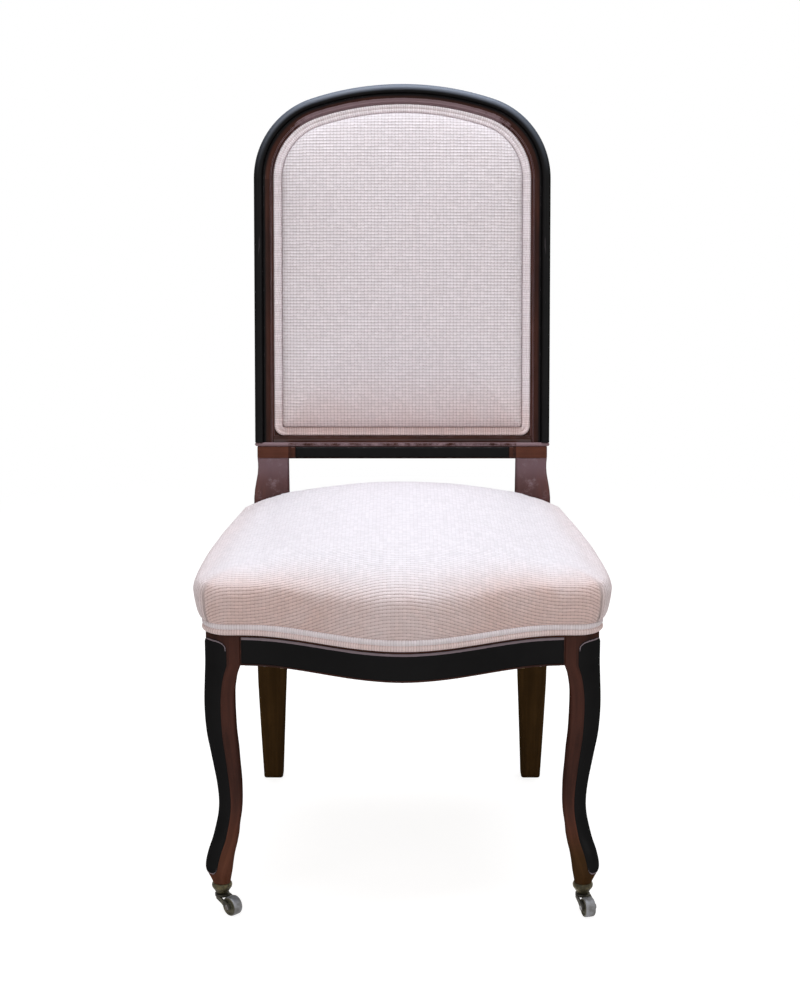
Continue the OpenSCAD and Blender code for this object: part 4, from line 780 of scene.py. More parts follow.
def seat_fullness(line):
    """Share of the overhang at each point: small before and behind, less at corners, more at the sides."""
    x, y = np.abs(line[:, 0]), line[:, 1]
    side = np.where(x > BOW_HALF - 1, np.sin(pi * np.clip(y / REAR_Y, 0, 1)), 0)
    away = np.hypot(x - FRONT_HALF, y) / (CORNER_R * 1.4)
    turn = BOW_HALF * 0.72
    t = np.where(y > CORNER_R, 1, (x - turn) / (FRONT_HALF - turn))
    whole = mix(FRONT_SHARE, 1, smooth_step(t))
    full = whole + SIDE_SHARE * side - CORNER_SHARE * np.exp(-away ** 2)
    return np.where(y > REAR_Y - 5, REAR_SHARE, full)


def lay_of_seat(line):
    """The seat cloth runs straight over the front, the sides and the rear, and is pleated at the corners."""
    x, y = line[:, 0], line[:, 1]
    front = y < CORNER_R * 0.3
    rear = y > REAR_Y - 5
    across = np.where(front | rear, 0, np.sign(x))
    along = np.where(front, -1, np.where(rear, 1, 0))
    return np.stack([across, along], 1).astype(float)


def lay_of_back(line, normal):
    """The back's cloth runs straight up, down and to both sides, and turns between them."""
    lay = np.sign(normal) * smooth_step((np.abs(normal) - 0.3) / 0.4)
    return lay / np.linalg.norm(lay, axis=1)[:, None]


def add_pleats(points, line, normal):
    """A shallow pleat that runs up each front corner from the welt."""
    depth = 0.26
    turn = np.array([FRONT_HALF - 0.56 * CORNER_R, 0.1 * CORNER_R])
    along = np.hypot(np.abs(line[:, 0]) - turn[0], line[:, 1] - turn[1]) * np.sign(line[:, 1] - turn[1])
    crease = np.exp(-(along / 1.8) ** 2) - 0.5 * np.exp(-((along + 5) / 3.5) ** 2)
    for ring in points:
        z = ring[0, 2]
        deep = depth * float(smooth_step((z - 372) / 6) * smooth_step((430 - z) / 30))
        ring[:, :2] -= normal * (deep * crease)[:, None]


def tuck_at_stiles(points):
    """The cloth dips a little where it is folded in against each stile."""
    lowest, dip = 379, 3.2
    gap = np.maximum(np.maximum(STILE_IN - np.abs(points[..., 0]), SEAT_DEPTH - points[..., 1]), 0)
    points[..., 2] -= dip * np.where(points[..., 2] > lowest, np.exp(-(gap / dip) ** 2), 0)


def unsettle(points):
    """Slow unevenness of hand-laid stuffing."""
    lowest, height, across, upright = 377, 0.9, 55, 70
    for ring in points:
        for point in ring:
            x, y, z = point
            if z > lowest:
                point[2] += height * noise.noise(Vector((x / across, y / across, z / upright)))


def seat_painted_shade(points, level, normal):
    """How much painted shade lies on the seat: from the welt up to a level, most near the corners and least
    beyond them.
    """
    shade_top, shade_depth = 453, 46
    across = 0.7 + 0.3 * smooth_step((np.abs(points[..., 0]) - 25) / 95)
    beyond = 1 - 0.6 * smooth_step((np.maximum(np.abs(normal[:, 0]), normal[:, 1]) - 0.6) / 0.35)
    return 0.03 + 0.97 * smooth_step((shade_top - level) / shade_depth) ** 0.8 * across * beyond


def seat_cushion():
    line, normal = seat_plan()
    points, flat = cloth_rings(line, normal, SEAT_CENTRE, SEAT_ROWS, 4, seat_fullness(line),
                               lay_of_seat(line))
    level = points[..., 2].copy()
    fall = DOME_FALL * np.minimum(DOME_FAR, (points[..., 0] / STILE_IN) ** 2)
    points[..., 2] += np.maximum(level - DOME_Z, 0) * (DOME_RISE - fall)
    add_pleats(points, line, normal)
    tuck_at_stiles(points)
    unsettle(points)
    # The worn mark here carries painted shade, darker and warmer towards the welt
    return grid(points, flat, around=True, caps=True, worn=seat_painted_shade(points, level, normal))


def stile_cutter():
    """A box round each stile's place that the seat's soft pieces are cut back to."""
    mesh = bpy.data.meshes.new("stile cutter")
    bm = bmesh.new()
    low = (STILE_IN - STILE_ROOM, SEAT_DEPTH - STILE_ROOM, 300)
    high = (300, 600, 560)
    for side in SIDES.values():
        made = bmesh.ops.create_cube(bm, size=1)
        for v in made["verts"]:
            x, y, z = (a if c < 0 else b for a, b, c in zip(low, high, v.co))
            v.co = Vector((side * x, y - MIDDLE_Y, z)) * MM
    bmesh.ops.recalc_face_normals(bm, faces=bm.faces)
    bm.to_mesh(mesh)
    bm.free()
    cutter = bpy.data.objects.new("stile cutter", mesh)
    bpy.context.scene.collection.objects.link(cutter)
    return cutter


def cut_round_stiles(piece):
    cutter = stile_cutter()
    modifier = piece.modifiers.new("Cut", "BOOLEAN")
    modifier.operation = "DIFFERENCE"
    modifier.solver = "EXACT"
    modifier.object = cutter
    apply_modifiers(piece)
    bpy.data.objects.remove(cutter)


def apply_modifiers(piece):
    bpy.context.view_layer.update()
    made = bpy.data.meshes.new_from_object(piece.evaluated_get(bpy.context.evaluated_depsgraph_get()))
    piece.modifiers.clear()
    old = piece.data
    piece.data = made
    bpy.data.meshes.remove(old)


def two_cords(r, upright):
    """Section of a double welt: two cords side by side in one strip of cloth, flat behind."""
    if upright:
        cords = [arc((0, r), r, -90, 62, 10), arc((0, 3 * r), r, -62, 90, 10)]
        back = [(-r * 0.86, 4 * r - r * 0.5), (-r * 0.86, r * 0.5)]
    else:
        cords = [arc((r, 0), r, 180, 28, 10), arc((3 * r, 0), r, 152, 0, 10)]
        back = [(4 * r - r * 0.5, -r * 0.9), (r * 0.5, -r * 0.9)]
    return np.vstack([*cords, back])


# Operators

def length_property(name, description, default, least, most):
    return FloatProperty(name=name, description=description, default=default, min=least, max=most,
                         unit="LENGTH", precision=4)


class ChairSizes(bpy.types.PropertyGroup):
    weave_column: length_property("Weave column", "Distance between the cloth's upright threads",
                                  0.0046, 0.001, 0.02)
    weave_row: length_property("Weave row", "Distance between the cloth's level threads", 0.0042, 0.001, 0.02)
    seat_welt: length_property("Seat welt", "Diameter of each cord of the seat's double welt",
                               0.0072, 0.004, 0.01)
    back_welt: length_property("Back welt", "Diameter of each cord of the back's double welt",
                               0.0058, 0.004, 0.008)
    arris: length_property("Arris", "Radius that the show wood's edges are worn to", 0.0012, 0.0002, 0.003)
    camera_lens: FloatProperty(name="Lens", description="Focal length of the camera in mm on a 36 mm frame",
                               default=74.92, min=20, max=200)


def colour_property(name, description, default):
    return FloatVectorProperty(name=name, description=description, default=default, min=0, max=1, size=3,
                               subtype="COLOR")


class ChairFinish(bpy.types.PropertyGroup):
    brown: colour_property("Brown", "Lighter colour of the brown polish", (0.075, 0.024, 0.015))
    brown_dark: colour_property("Dark brown", "Darker colour of the brown polish", (0.026, 0.0085, 0.0055))
    # Also the colour of the painted highlight along the arch's fillet and of the painted sheen on the posts
    rubbed_and_highlight_brown: colour_property("Rubbed brown", "Brown polish worn thin", (0.26, 0.175, 0.19))
    worn_brown: colour_property("Worn brown", "Polish worn through to the wood", (0.19, 0.062, 0.036))
    old_brown: colour_property("Old brown", "Dull finish of the rear legs", (0.07, 0.036, 0.011))
    ebony: colour_property("Ebony", "Colour of the ebonised polish", (0.0034, 0.0032, 0.0034))
    ebony_light: colour_property("Light ebony", "Ebonised polish where the grain shows",
                                 (0.0065, 0.0058, 0.006))
    # Painted reflection: purplish, on the tops of the posts
    painted_highlight_brown: colour_property("Polished brown", "Brown polish where it catches the light",
                                    (0.15, 0.085, 0.1))
    # Painted highlight: bluish, on the bead where the arch faces up
    painted_highlight_black: colour_property("Polished ebony", "Ebonised polish where it catches the light",
                                    (0.15, 0.17, 0.215))
    # Also the colour of the painted highlight along the top edges of the raised panels
    rubbed_and_highlight_black: colour_property("Rubbed black", "Ebonised polish worn thin", (0.26, 0.21, 0.235))
    cloth: colour_property("Cloth", "Colour of the seat and back cloth", (0.86, 0.82, 0.855))
    # Painted shade between the threads of the cloth
    cloth_gap_shade: colour_property("Cloth gaps", "Colour between the threads of the cloth", (0.5, 0.41, 0.42))
    # Painted shade: the tint multiplied into the cloth where the worn mark lies
    cloth_shade_tint: colour_property("Cloth soil", "What the cloth's colour is multiplied by where it has browned",
                                (0.955, 0.765, 0.685))


class CHAIR_OT_seat(bpy.types.Operator):
    """Builds the stuffed seat and its double welt"""
    bl_idname = "chair.seat"
    bl_label = "Seat"

    def execute(self, context):
        seat = build("seat_cushion", [seat_cushion()], "upholstery", ["seat_cover"], "seat cloth", sharp=70)
        cut_round_stiles(seat)
        r = context.scene.chair_sizes.seat_welt / MM / 2
        line, normal = seat_plan()
        path = line + normal * (r - SEAT_TUCK + WELT_GAP)
        profile = two_cords(r, True)
        rings = [level_ring(path + normal * out, SHOW_TOP + WELT_GAP + up) for out, up in profile]
        # Painted shade on the lower cord, under the upper one, carried by the worn mark
        lower = np.where(profile[:, 1] < 2 * r, 0.75, 0.15)[None]
        shell = grid(np.stack(rings, 1), around=True, along=True, worn=lower)
        cut_round_stiles(build("seat_double_welt", [shell], "upholstery", ["seat_welt"], "welt", sharp=75))
        return {"FINISHED"}


class CHAIR_OT_back(bpy.types.Operator):
    """Builds the back pad, its double welt, and the cloth and welt on the rear of the back"""
    bl_idname = "chair.back"
    bl_label = "Back"

    def execute(self, context):
        line, normal = back_path(PAD_INSET)
        points, flat = cloth_rings(line, normal, PAD_CENTRE, PAD_ROWS, 4, lay=lay_of_back(line, normal))
        # Painted shade on the pad, growing towards its bottom where the seat shades it, over a slight tint
        # all over
        painted_shade = 0.17 + 0.58 * smooth_step((130 - points[..., 1]) / 120)
        shell = grid(in_back(points), flat, around=True, caps=True, worn=painted_shade)
        pad = build("back_pad", [shell], "upholstery", ["back_cover"], sharp=70)
        r = context.scene.chair_sizes.back_welt / MM / 2 - WELT_GAP
        rear_welt_face = REAR_RECESS - 0.1 - 1.5
        self.welt("back_double_welt", FACE_W + WELT_SIDE, PAD_BASE + WELT_GAP + r, r, 1, "back_welt")
        self.welt("rear_double_welt", REAR_RIM + WELT_SIDE, rear_welt_face - r, r, -1, "outer_back_welt")
        self.rear_cloth()
        return {"FINISHED"}

    def welt(self, name, inset, height, r, facing, node):
        """A double welt laid round the opening, with painted shade growing towards its bottom."""
        line, normal = back_path(inset)
        profile = two_cords(r, False)
        rings = [level_ring(line - normal * across, height + facing * out) for across, out in profile]
        # Painted shade, growing towards the bottom of the back
        worn = (0.25 + 0.6 * smooth_step((110 - line[:, 1]) / 100))[:, None]
        shell = grid(in_back(np.stack(rings, 1)), around=True, along=True, worn=worn)
        build(name, [shell], "upholstery", [node], "welt", sharp=75)

    def rear_cloth(self):
        """The cloth stretched over the rear of the back, slightly hollow."""
        thickness = 0.9
        line, normal = back_path(REAR_RIM + 0.3)
        points, flat = cloth_rings(line, normal, PAD_CENTRE, REAR_CLOTH_ROWS, 3)
        front = points.copy()
        front[..., 2] += thickness
        shell = grid(in_back(np.concatenate([front[::-1], points])), np.concatenate([flat[::-1], flat]),
                     around=True, caps=True)
        cloth = build("rear_cloth", [shell], "upholstery", ["outer_back_cover"], sharp=60)


# Heights, and how far the outer and the inner face of the rear leg and post stand from the middle there
POST_OUTER = [(0, STILE_OUT - 3.5), (RAIL_BOTTOM / 2, STILE_OUT), (428, STILE_OUT), (442, 200.5), (459, 197),
              (470, 196), (BACK_BOTTOM, 197)]
POST_INNER = [(0, 171.5), (RAIL_BOTTOM / 2, 163), (RAIL_BOTTOM, STILE_IN)]
FOOT_RAKE = 64
FOOT_D = 28
LEAN_FRONT, LEAN_REAR = 430, 412


class CHAIR_OT_frame(bpy.types.Operator):
    """Builds the moulded back frame, the stiles and the lower back rail"""
    bl_idname = "chair.frame"
    bl_label = "Back frame"

    def execute(self, context):
        arris_r = context.scene.chair_sizes.arris / MM
        profile, arris = rounded(MOULDING, arris_r * 0.5, 3)
        ebony = section_marks(profile)
        arris = arris * np.where(profile[:, 0] > 20, 1.5, 0.7)
        path, inward = arch_path()
        build("crest_moulding", [sweep_in_back(path, inward, profile, arris, ebony)], "brown", ["crest_rail"])
        for name, side in SIDES.items():
            shells = on_side(self.stile(profile, arris, ebony, arris_r), side)
            build("stile_" + name, shells, "brown", ["rear_stile_" + name])
        build("lower_back_rail", self.lower_rail(arris_r), "brown", ["back_bottom_rail"])
        return {"FINISHED"}

    def stile(self, profile, arris, ebony, arris_r):
        """The moulded upright, the post and leg under it, and the stile's share of the lower mouldings."""
        up = np.stack([np.full(40, BACK_HALF), np.linspace(RIDGE_TOP, SPRING_LINE, 40)], 1)
        low = [(RIDGE_TOP, 0), (RIDGE_TOP, RIDGE_FACE)] + LOWER_COVE
        return [sweep_in_back(up, np.tile([-1.0, 0.0], (40, 1)), profile, arris, ebony),
                self.post(),
                self.bar(STILE_IN, BACK_HALF - 3, 0, BASE_H, 0, BASE_FACE, arris_r, 0.6),
                self.bar(STILE_IN, BACK_HALF + 0.3, BASE_H, RIDGE_TOP, 0, FILLET_FACE, arris_r * 1.8, 0.3,
                         1.3, True),
                self.across(low, STILE_IN, BACK_HALF - FACE_W + 1, arris_r),
                self.spandrel()]

    def spandrel(self):
        """Wood in the square corner of the opening, behind the welt's rounded corner."""
        x, z, r = BACK_HALF - FACE_W + 0.3, LOWER_FACE - 0.3, WELT_CORNER_R
        ring = np.vstack([[(x, z)], arc((x - r, z + r), r, 0, -90, 8)])
        rings = np.stack([level_ring(ring, h) for h in (REBATE_FLOOR, LEDGE_FACE - 1)])
        return grid(in_back(rings), around=True, caps=True)

    def post(self):
        """Rear leg and post: a tapering, rounded rectangle from the floor to the back frame."""
        knee = RAIL_BOTTOM - 20
        above = [310, 320, 340, 360, 382, 400, 415, 430, 440, 450, 459, 467, 473, BACK_BOTTOM]
        zs = np.concatenate([[0, 0.6, 2], np.linspace(8, knee, 34), above])
        outer = np.interp(zs, *zip(*POST_OUTER))
        inner = np.interp(zs, *zip(*POST_INNER))
        front = SEAT_DEPTH + FOOT_RAKE * np.maximum(0, 1 - zs / knee) ** 1.6
        rear = front + mix(FOOT_D, STILE_D, np.minimum(1, zs / knee))
        top = np.clip((zs - LEAN_FRONT) / (BACK_BOTTOM - LEAN_FRONT), 0, 1)
        front = mix(front, BACK_Y - BASE_FACE * cos(TILT), top)
        leaning = np.clip((zs - LEAN_REAR) / (BACK_BOTTOM - LEAN_REAR), 0, 1)
        rear = np.where(zs > LEAN_REAR, mix(SEAT_DEPTH + STILE_D, BACK_Y, leaning), rear)
        lift = BASE_FACE * sin(TILT) * top
        worn_foot = np.where(zs < 2, (2 - zs) * 0.5, 0)
        rings = []
        for z, x0, x1, y0, y1, up, cut in zip(zs, inner, outer, front, rear, lift, worn_foot):
            ring = rounded_rect(x0 + cut, x1 - cut, y0 + cut, y1 - cut, 3.2)
            rings.append(np.column_stack([ring, z + up * (y1 - ring[:, 1]) / (y1 - y0)]))
        arris = np.tile([0, 0.5, 0.9, 0.9, 0.5, 0], 4)[None] * 0.6
        # Towards the top the post is painted lighter: patches in the rubbed colour are a painted sheen, the
        # polished colour a painted reflection, and it also turns warmer brown
        painted_sheen = 0.62 * smooth_step((zs - 375) / 70)[:, None]
        worn = 0.45 * smooth_step((zs - 390) / 60)[:, None]
        gloss = 0.25 * smooth_step((zs - 385) / 55)[:, None] + 0.62 * smooth_step((zs - 442) / 30)[:, None]
        old = smooth_step((360 - zs) / 40)[:, None]
        return grid(np.array(rings), around=True, caps=True, arris=np.maximum(arris, painted_sheen), worn=worn,
                    gloss=gloss, old=old)

    def bar(self, x0, x1, low, high, rear, face, r, worn=0.0, rub=1.0, bare=False):
        """A bar along x in the back's own frame. Its face may be rubbed bare."""
        profile, arris = rounded([(low, rear), (low, face), (high, face), (high, rear)], r)
        if bare:
            arris = np.maximum(arris, (profile[:, 1] > face - 0.3) * 0.85)
        xs = np.array([x0, x0 + 0.4, x1 - r, x1 - r * 0.35, x1])
        shrink = np.array([0, 0, 0, r * 0.3, r])
        middle = np.array([(low + high) / 2, (rear + face) / 2])
        rings = []
        for x, s in zip(xs, shrink):
            q = profile - np.sign(profile - middle) * np.minimum(s, np.abs(profile - middle) * 0.9)
            rings.append(section_at(q, x))
        ends = np.array([0, 0, 0, 0.8, 1])[:, None]
        rubbed = np.maximum(arris[None] * rub, ends * 0.8)
        return grid(in_back(rings), around=True, caps=True, arris=rubbed, worn=worn)

    def across(self, section, x0, x1, r):
        """A moulding that runs level between two places, rubbed along its fillet."""
        profile, arris = rounded(section, r * 0.5, 3)
        points = np.stack([section_at(profile, x) for x in np.linspace(x0, x1, 24)])
        up, height = profile[:, 0], profile[:, 1]
        ridge = np.where(height > BASE_FACE + 0.4, 1.3, np.where(up > 20.5, 0.9, 0.6))
        face = (height > FILLET_FACE - 0.3) * 0.78
        return grid(in_back(points), around=True, caps=True, arris=np.maximum(arris * ridge, face))

    def lower_rail(self, arris_r):
        """The lower back rail, with a narrow fillet upright at each end of its panel."""
        section = [(0, 0), (0, BASE_FACE), (BASE_H, BASE_FACE), (BASE_H, FILLET_FACE),
                   (RIDGE_TOP, FILLET_FACE), (RIDGE_TOP, RIDGE_FACE)] + LOWER_COVE
        fillet = self.bar(STILE_IN - 9, STILE_IN - 3.5, 1.2, BASE_H - 1.2, 25, 27.1, arris_r, 0.25)
        return [self.across(section, -STILE_IN, STILE_IN, arris_r * 1.6), fillet, mirrored(fillet)]


# A front leg from its foot to the rail: the share of that height, then as shares of the leg's full width how
# far its outer faces stand in, and its width, and as shares of that width the radii of its corners, the
# outer one first
LEG_SHARES = [
    (0.000, 0.114, 0.580, 0.49, 0.47), (0.026, 0.030, 0.700, 0.49, 0.42), (0.054, -0.060, 0.830, 0.49, 0.36),
    (0.093, -0.090, 0.900, 0.50, 0.28), (0.149, 0.000, 0.890, 0.53, 0.21), (0.199, 0.139, 0.847, 0.56, 0.18),
    (0.249, 0.242, 0.786, 0.58, 0.16), (0.298, 0.324, 0.764, 0.58, 0.15), (0.340, 0.358, 0.757, 0.58, 0.15),
    (0.383, 0.355, 0.768, 0.58, 0.15), (0.457, 0.298, 0.815, 0.58, 0.14), (0.528, 0.212, 0.862, 0.59, 0.13),
    (0.601, 0.120, 0.920, 0.60, 0.12), (0.672, 0.030, 0.960, 0.61, 0.11), (0.746, -0.020, 0.985, 0.62, 0.10),
    (0.817, -0.036, 0.990, 0.62, 0.09), (0.869, -0.028, 0.990, 0.63, 0.08),
    (0.922, -0.012, 1.035, 0.64, 0.08), (0.958, -0.004, 1.090, 0.66, 0.07),
    (0.982, 0.000, 1.150, 0.68, 0.06), (1.000, 0.000, 1.200, 0.69, 0.05)]
LEG_WEIGHTS = (10, 1, 1, 1, 1)
LEG_LINE = curve_through(np.array(LEG_SHARES) * LEG_WEIGHTS, 8) / LEG_WEIGHTS
FOOT_DULLNESS = {"left": 0.25, "right": 0.9}
PANEL_TURN = (-84, -6)


def leg_at(z):
    """Outer inset, width and corner radii of a front leg at a height."""
    share = np.clip((np.asarray(z, float) - FOOT_Z) / (RAIL_BOTTOM - FOOT_Z), 0, 1)
    inset, w, outer, other = (np.interp(share, LEG_LINE[:, 0], LEG_LINE[:, k]) for k in (1, 2, 3, 4))
    w = w * LEG_W
    radius = mix(w * outer, CORNER_R, np.clip((z - RAIL_BOTTOM) / (SHOW_TOP - RAIL_BOTTOM), 0, 1))
    return inset * LEG_W, w, radius, w * other


class CHAIR_OT_legs(bpy.types.Operator):
    """Builds the front legs and the ebonised panels on their outer corners"""
    bl_idname = "chair.legs"
    bl_label = "Front legs"

    def execute(self, context):
        for name, side in SIDES.items():
            leg = on_side([self.leg(FOOT_DULLNESS[name]), self.block()], side)
            build("cabriole_leg_" + name, leg, "brown", ["front_leg_" + name])
            build("leg_raised_panel_" + name, on_side(self.panel(), side), "ebonised", ["leg_panel_" + name])
        return {"FINISHED"}

    def leg(self, foot):
        """The shaped leg. Its foot may be duller than the rest."""
        zs = np.concatenate([np.linspace(FOOT_Z, RAIL_BOTTOM, 110),
                             np.linspace(RAIL_BOTTOM, SHOW_TOP - 0.8, 12)[1:], [SHOW_TOP - 0.2, SHOW_TOP]])
        rings = []
        for z in zs:
            inset, w, outer, other = leg_at(z)
            cut = 0.8 if z == SHOW_TOP else 0.25 if z > SHOW_TOP - 0.5 else 0
            x1, y0 = FRONT_HALF - inset - cut, inset + cut
            x0, y1 = x1 - w + 2 * cut, y0 + w - 2 * cut
            ring = np.vstack([arc((x1 - outer, y0 + outer), outer, -90, 0, 22),
                              arc((x1 - other, y1 - other), other, 0, 90, 8),
                              arc((x0 + other, y1 - other), other, 90, 180, 8),
                              arc((x0 + other, y0 + other), other, 180, 270, 8)])
            rings.append(level_ring(ring, z))
        arch = 0.4 * np.sin(np.linspace(0, pi, 9))
        arris = np.concatenate([np.zeros(23), arch, arch, arch])[None]
        worn = smooth_step((190 - zs) / 130)[:, None]
        old = foot * smooth_step((120 - zs) / 50)[:, None]
        return grid(np.array(rings), around=True, caps=True, arris=arris, worn=worn, old=old)

    def block(self):
        """The square block behind the rebate, from the shaped leg up to the top of the rails."""
        x0, x1, y0, y1 = BOW_HALF, FRONT_HALF - REBATE, REBATE, BLOCK_W
        r = CORNER_R - REBATE
        ring = np.vstack([arc((x1 - r, y0 + r), r, -90, 0, 12), arc((x1 - 2, y1 - 2), 2, 0, 90, 3),
                          arc((x0 + 2, y1 - 2), 2, 90, 180, 3), arc((x0 + 2, y0 + 2), 2, 180, 270, 3)])
        rings = np.stack([level_ring(ring, z) for z in (SHOW_TOP - 4, RAIL_TOP)])
        return grid(rings, around=True, caps=True)

    def panel(self):
        """The raised panel round the leg's outer corner, rounded at both ends and rubbed along its rim, most
        along its top, where the lighter rim is also a painted highlight.
        """
        low_z, high_z = FOOT_Z + LEG_W * 0.42, SHOW_TOP - 7
        turn = radians(PANEL_TURN[1] - PANEL_TURN[0])
        us, vs = np.linspace(0, 1, 61), np.linspace(0, 1, 181)
        vs = smooth_step(vs) * 0.25 + vs * 0.75
        outer, inner, rub = [], [], []
        for v in vs:
            row, under, edge = [], [], []
            for u in us:
                fall = LEG_W / 3 * (1 - sqrt(max(0, 1 - abs(2 * u - 1) ** 3)))
                z = mix(low_z + fall, high_z - fall, v)
                inset, _, radius, _ = leg_at(z)
                angle = radians(mix(*PANEL_TURN, u))
                reach = min(u, 1 - u) * turn * radius
                gap = min(reach, (z - low_z - fall) * 0.9, (high_z - fall - z) * 0.9) if 0 < v < 1 else 0
                lift = 0.35 + 1.15 * float(smooth_step(gap / 1.8)) ** 0.8
                c, s = cos(angle), sin(angle)
                cx, cy = FRONT_HALF - inset - radius, inset + radius
                row.append((cx + (radius + lift) * c, cy + (radius + lift) * s, z))
                under.append((cx + (radius - 0.15) * c, cy + (radius - 0.15) * s, z))
                rim = float(smooth_step(1 - abs(gap - 1.3) / 1.7))
                # The rim is lighter along the top: wear and a painted highlight
                top = float(smooth_step((v - 0.962) / 0.03))
                foot = float(smooth_step((70 - z) / 26))
                edge.append(rim * (0.4 + 0.52 * top) + 0.85 * foot)
            outer.append(row)
            inner.append(under)
            rub.append(edge)
        outer, inner, rub = np.array(outer), np.array(inner), np.array(rub)
        rows, cols = rub.shape
        rim = [(0, j) for j in range(cols)] + [(i, cols - 1) for i in range(1, rows)]
        rim += [(rows - 1, j) for j in range(cols - 2, -1, -1)] + [(i, 0) for i in range(rows - 2, 0, -1)]
        edge = np.stack([np.array([face[k] for k in rim]) for face in (outer, inner)])
        return [grid(outer, arris=rub), grid(inner), grid(edge, around=True, arris=0.35)]


def close_at_ends(low, high, count):
    """Places along a run, close together at both ends, where a panel is rounded."""
    steps = np.array([0, 0.6, 1.4, 2.4])
    return np.concatenate([low + steps, np.linspace(low + 4, high - 4, count), high - steps[::-1]])


class CHAIR_OT_rails(bpy.types.Operator):
    """Builds the seat rails and the raised panels on the rails and on the lower back rail"""
    bl_idname = "chair.rails"
    bl_label = "Rails"

    def execute(self, context):
        r = context.scene.chair_sizes.arris / MM
        section = [(0, RAIL_BOTTOM), (0, SHOW_TOP), (REBATE, SHOW_TOP), (REBATE, RAIL_TOP),
                   (RAIL_T, RAIL_TOP), (RAIL_T, RAIL_BOTTOM)]
        xs = np.linspace(-BOW_HALF, BOW_HALF, 121)
        rail = self.run(np.stack([xs, front_y(xs)], 1), (0, 1), section, r)
        build("bowed_rail", [rail], "brown", ["front_seat_rail"])
        xs = close_at_ends(PANEL_END - BOW_HALF, BOW_HALF - PANEL_END, 117)
        panel = self.strip(np.stack([xs, front_y(xs)], 1))
        build("bowed_rail_panel", [panel], "ebonised", ["front_rail_panel"])
        for name, side in SIDES.items():
            ys = np.linspace(BLOCK_W, SEAT_DEPTH, 60)
            rail = self.run(np.stack([side_line(ys), ys], 1), (-1, 0), section, r)
            build("side_rail_" + name, on_side([rail], side), "brown", ["side_seat_rail_" + name])
            ys = close_at_ends(BLOCK_W + PANEL_END, SEAT_DEPTH - PANEL_END, 50)
            panel = on_side([self.strip(np.stack([side_line(ys), ys], 1))], side)
            build("side_rail_raised_panel_" + name, panel, "ebonised", ["side_rail_panel_" + name])
        build("rear_rail", [self.rear_rail(r)], "brown", ["rear_seat_rail"])
        build("lower_back_rail_panel", [self.back_panel()], "ebonised", ["back_rail_panel"])
        return {"FINISHED"}

    def run(self, path, inward, section, r):
        """A rail's section carried along its plan path."""
        profile, arris = rounded(section, r)
        rings = [level_ring(path + np.array(inward) * d, z) for d, z in profile]
        return grid(np.stack(rings, 1), around=True, caps=True, arris=arris * 0.8)

    def rear_rail(self, r):
        """The plain rail between the rear legs."""
        y0, y1 = REAR_Y - 22, REAR_Y
        section = [(y1, RAIL_BOTTOM), (y1, SHOW_TOP), (y1 - REBATE, SHOW_TOP), (y1 - REBATE, RAIL_TOP),
                   (y0, RAIL_TOP), (y0, RAIL_BOTTOM)]
        profile, arris = rounded(section, r)
        points = np.stack([section_at(profile, x) for x in np.linspace(-STILE_IN, STILE_IN, 20)])
        return grid(points, around=True, caps=True, arris=arris)

    def strip(self, path):
        """A raised panel along a plan path, whose outside is to the path's right, rounded along its edges."""
        low, high = RAIL_BOTTOM + PANEL_BORDER, SHOW_TOP - PANEL_BORDER
        step = np.gradient(path, axis=0)
        out = np.stack([step[:, 1], -step[:, 0]], 1) / np.linalg.norm(step, axis=1)[:, None]
        d = np.array([0, 0.25, 0.6, 1.0, 1.5, 2.1, 2.8, 3.6])
        zs = np.concatenate([low + d, np.linspace(low + 6, high - 6, 6), high - d[::-1]])
        edge = np.minimum(zs - low, high - zs)
        lift = PANEL_EDGE + PANEL_RISE * smooth_step(edge / 1.7) ** 0.8
        # Rubbed along both edges, much more along the top edge, where the lighter line is also a painted
        # highlight
        rub = smooth_step(1 - np.abs(edge - 1.7) / 2.4) * np.where(zs > (low + high) / 2, 1.6, 0.2)
        s = lengths(path)
        end = np.minimum(s, s[-1] - s)
        keep = smooth_step(end / 1.9)
        rows, arris = [], []
        for p, o, k in zip(path, out, keep):
            lifts = PANEL_EDGE + (lift - PANEL_EDGE) * k
            face = np.column_stack([p + o * lifts[:, None], zs])
            back = [(*(p + o * 0.05), high), (*(p + o * 0.05), low)]
            rows.append(np.vstack([face, back]))
            arris.append(np.concatenate([np.maximum(rub, 0.4 * (1 - k)), [0, 0]]))
        return grid(np.array(rows), around=True, caps=True, arris=np.array(arris))

    def back_panel(self):
        """The raised panel on the lower back rail."""
        low, high, end = 1.2, BASE_H - 1.2, STILE_IN - 10
        base, under = BASE_FACE + PANEL_EDGE, BASE_FACE + 0.02
        d = np.array([0, 0.25, 0.6, 1.0, 1.5, 2.1])
        zs = np.concatenate([low + d, high - d[::-1]])
        edge = np.minimum(zs - low, high - zs)
        lift = base + PANEL_RISE * smooth_step(edge / 1.7) ** 0.8
        rub = smooth_step(1 - np.abs(edge - 0.9) / 1.0) * np.where(zs > 7, 0.55, 0.35)
        xs = np.concatenate([-end + d, np.linspace(-end + 6, end - 6, 30), end - d[::-1]])
        rows, arris = [], []
        for x in xs:
            k = float(smooth_step(min(end - x, end + x) / 1.7))
            face = section_at(np.column_stack([zs, base + (lift - base) * k]), x)
            rows.append(np.vstack([face, [(x, high, under), (x, low, under)]]))
            arris.append(np.concatenate([np.maximum(rub, 0.4 * (1 - k)), [0, 0]]))
        return grid(in_back(rows), around=True, caps=True, arris=np.array(arris))


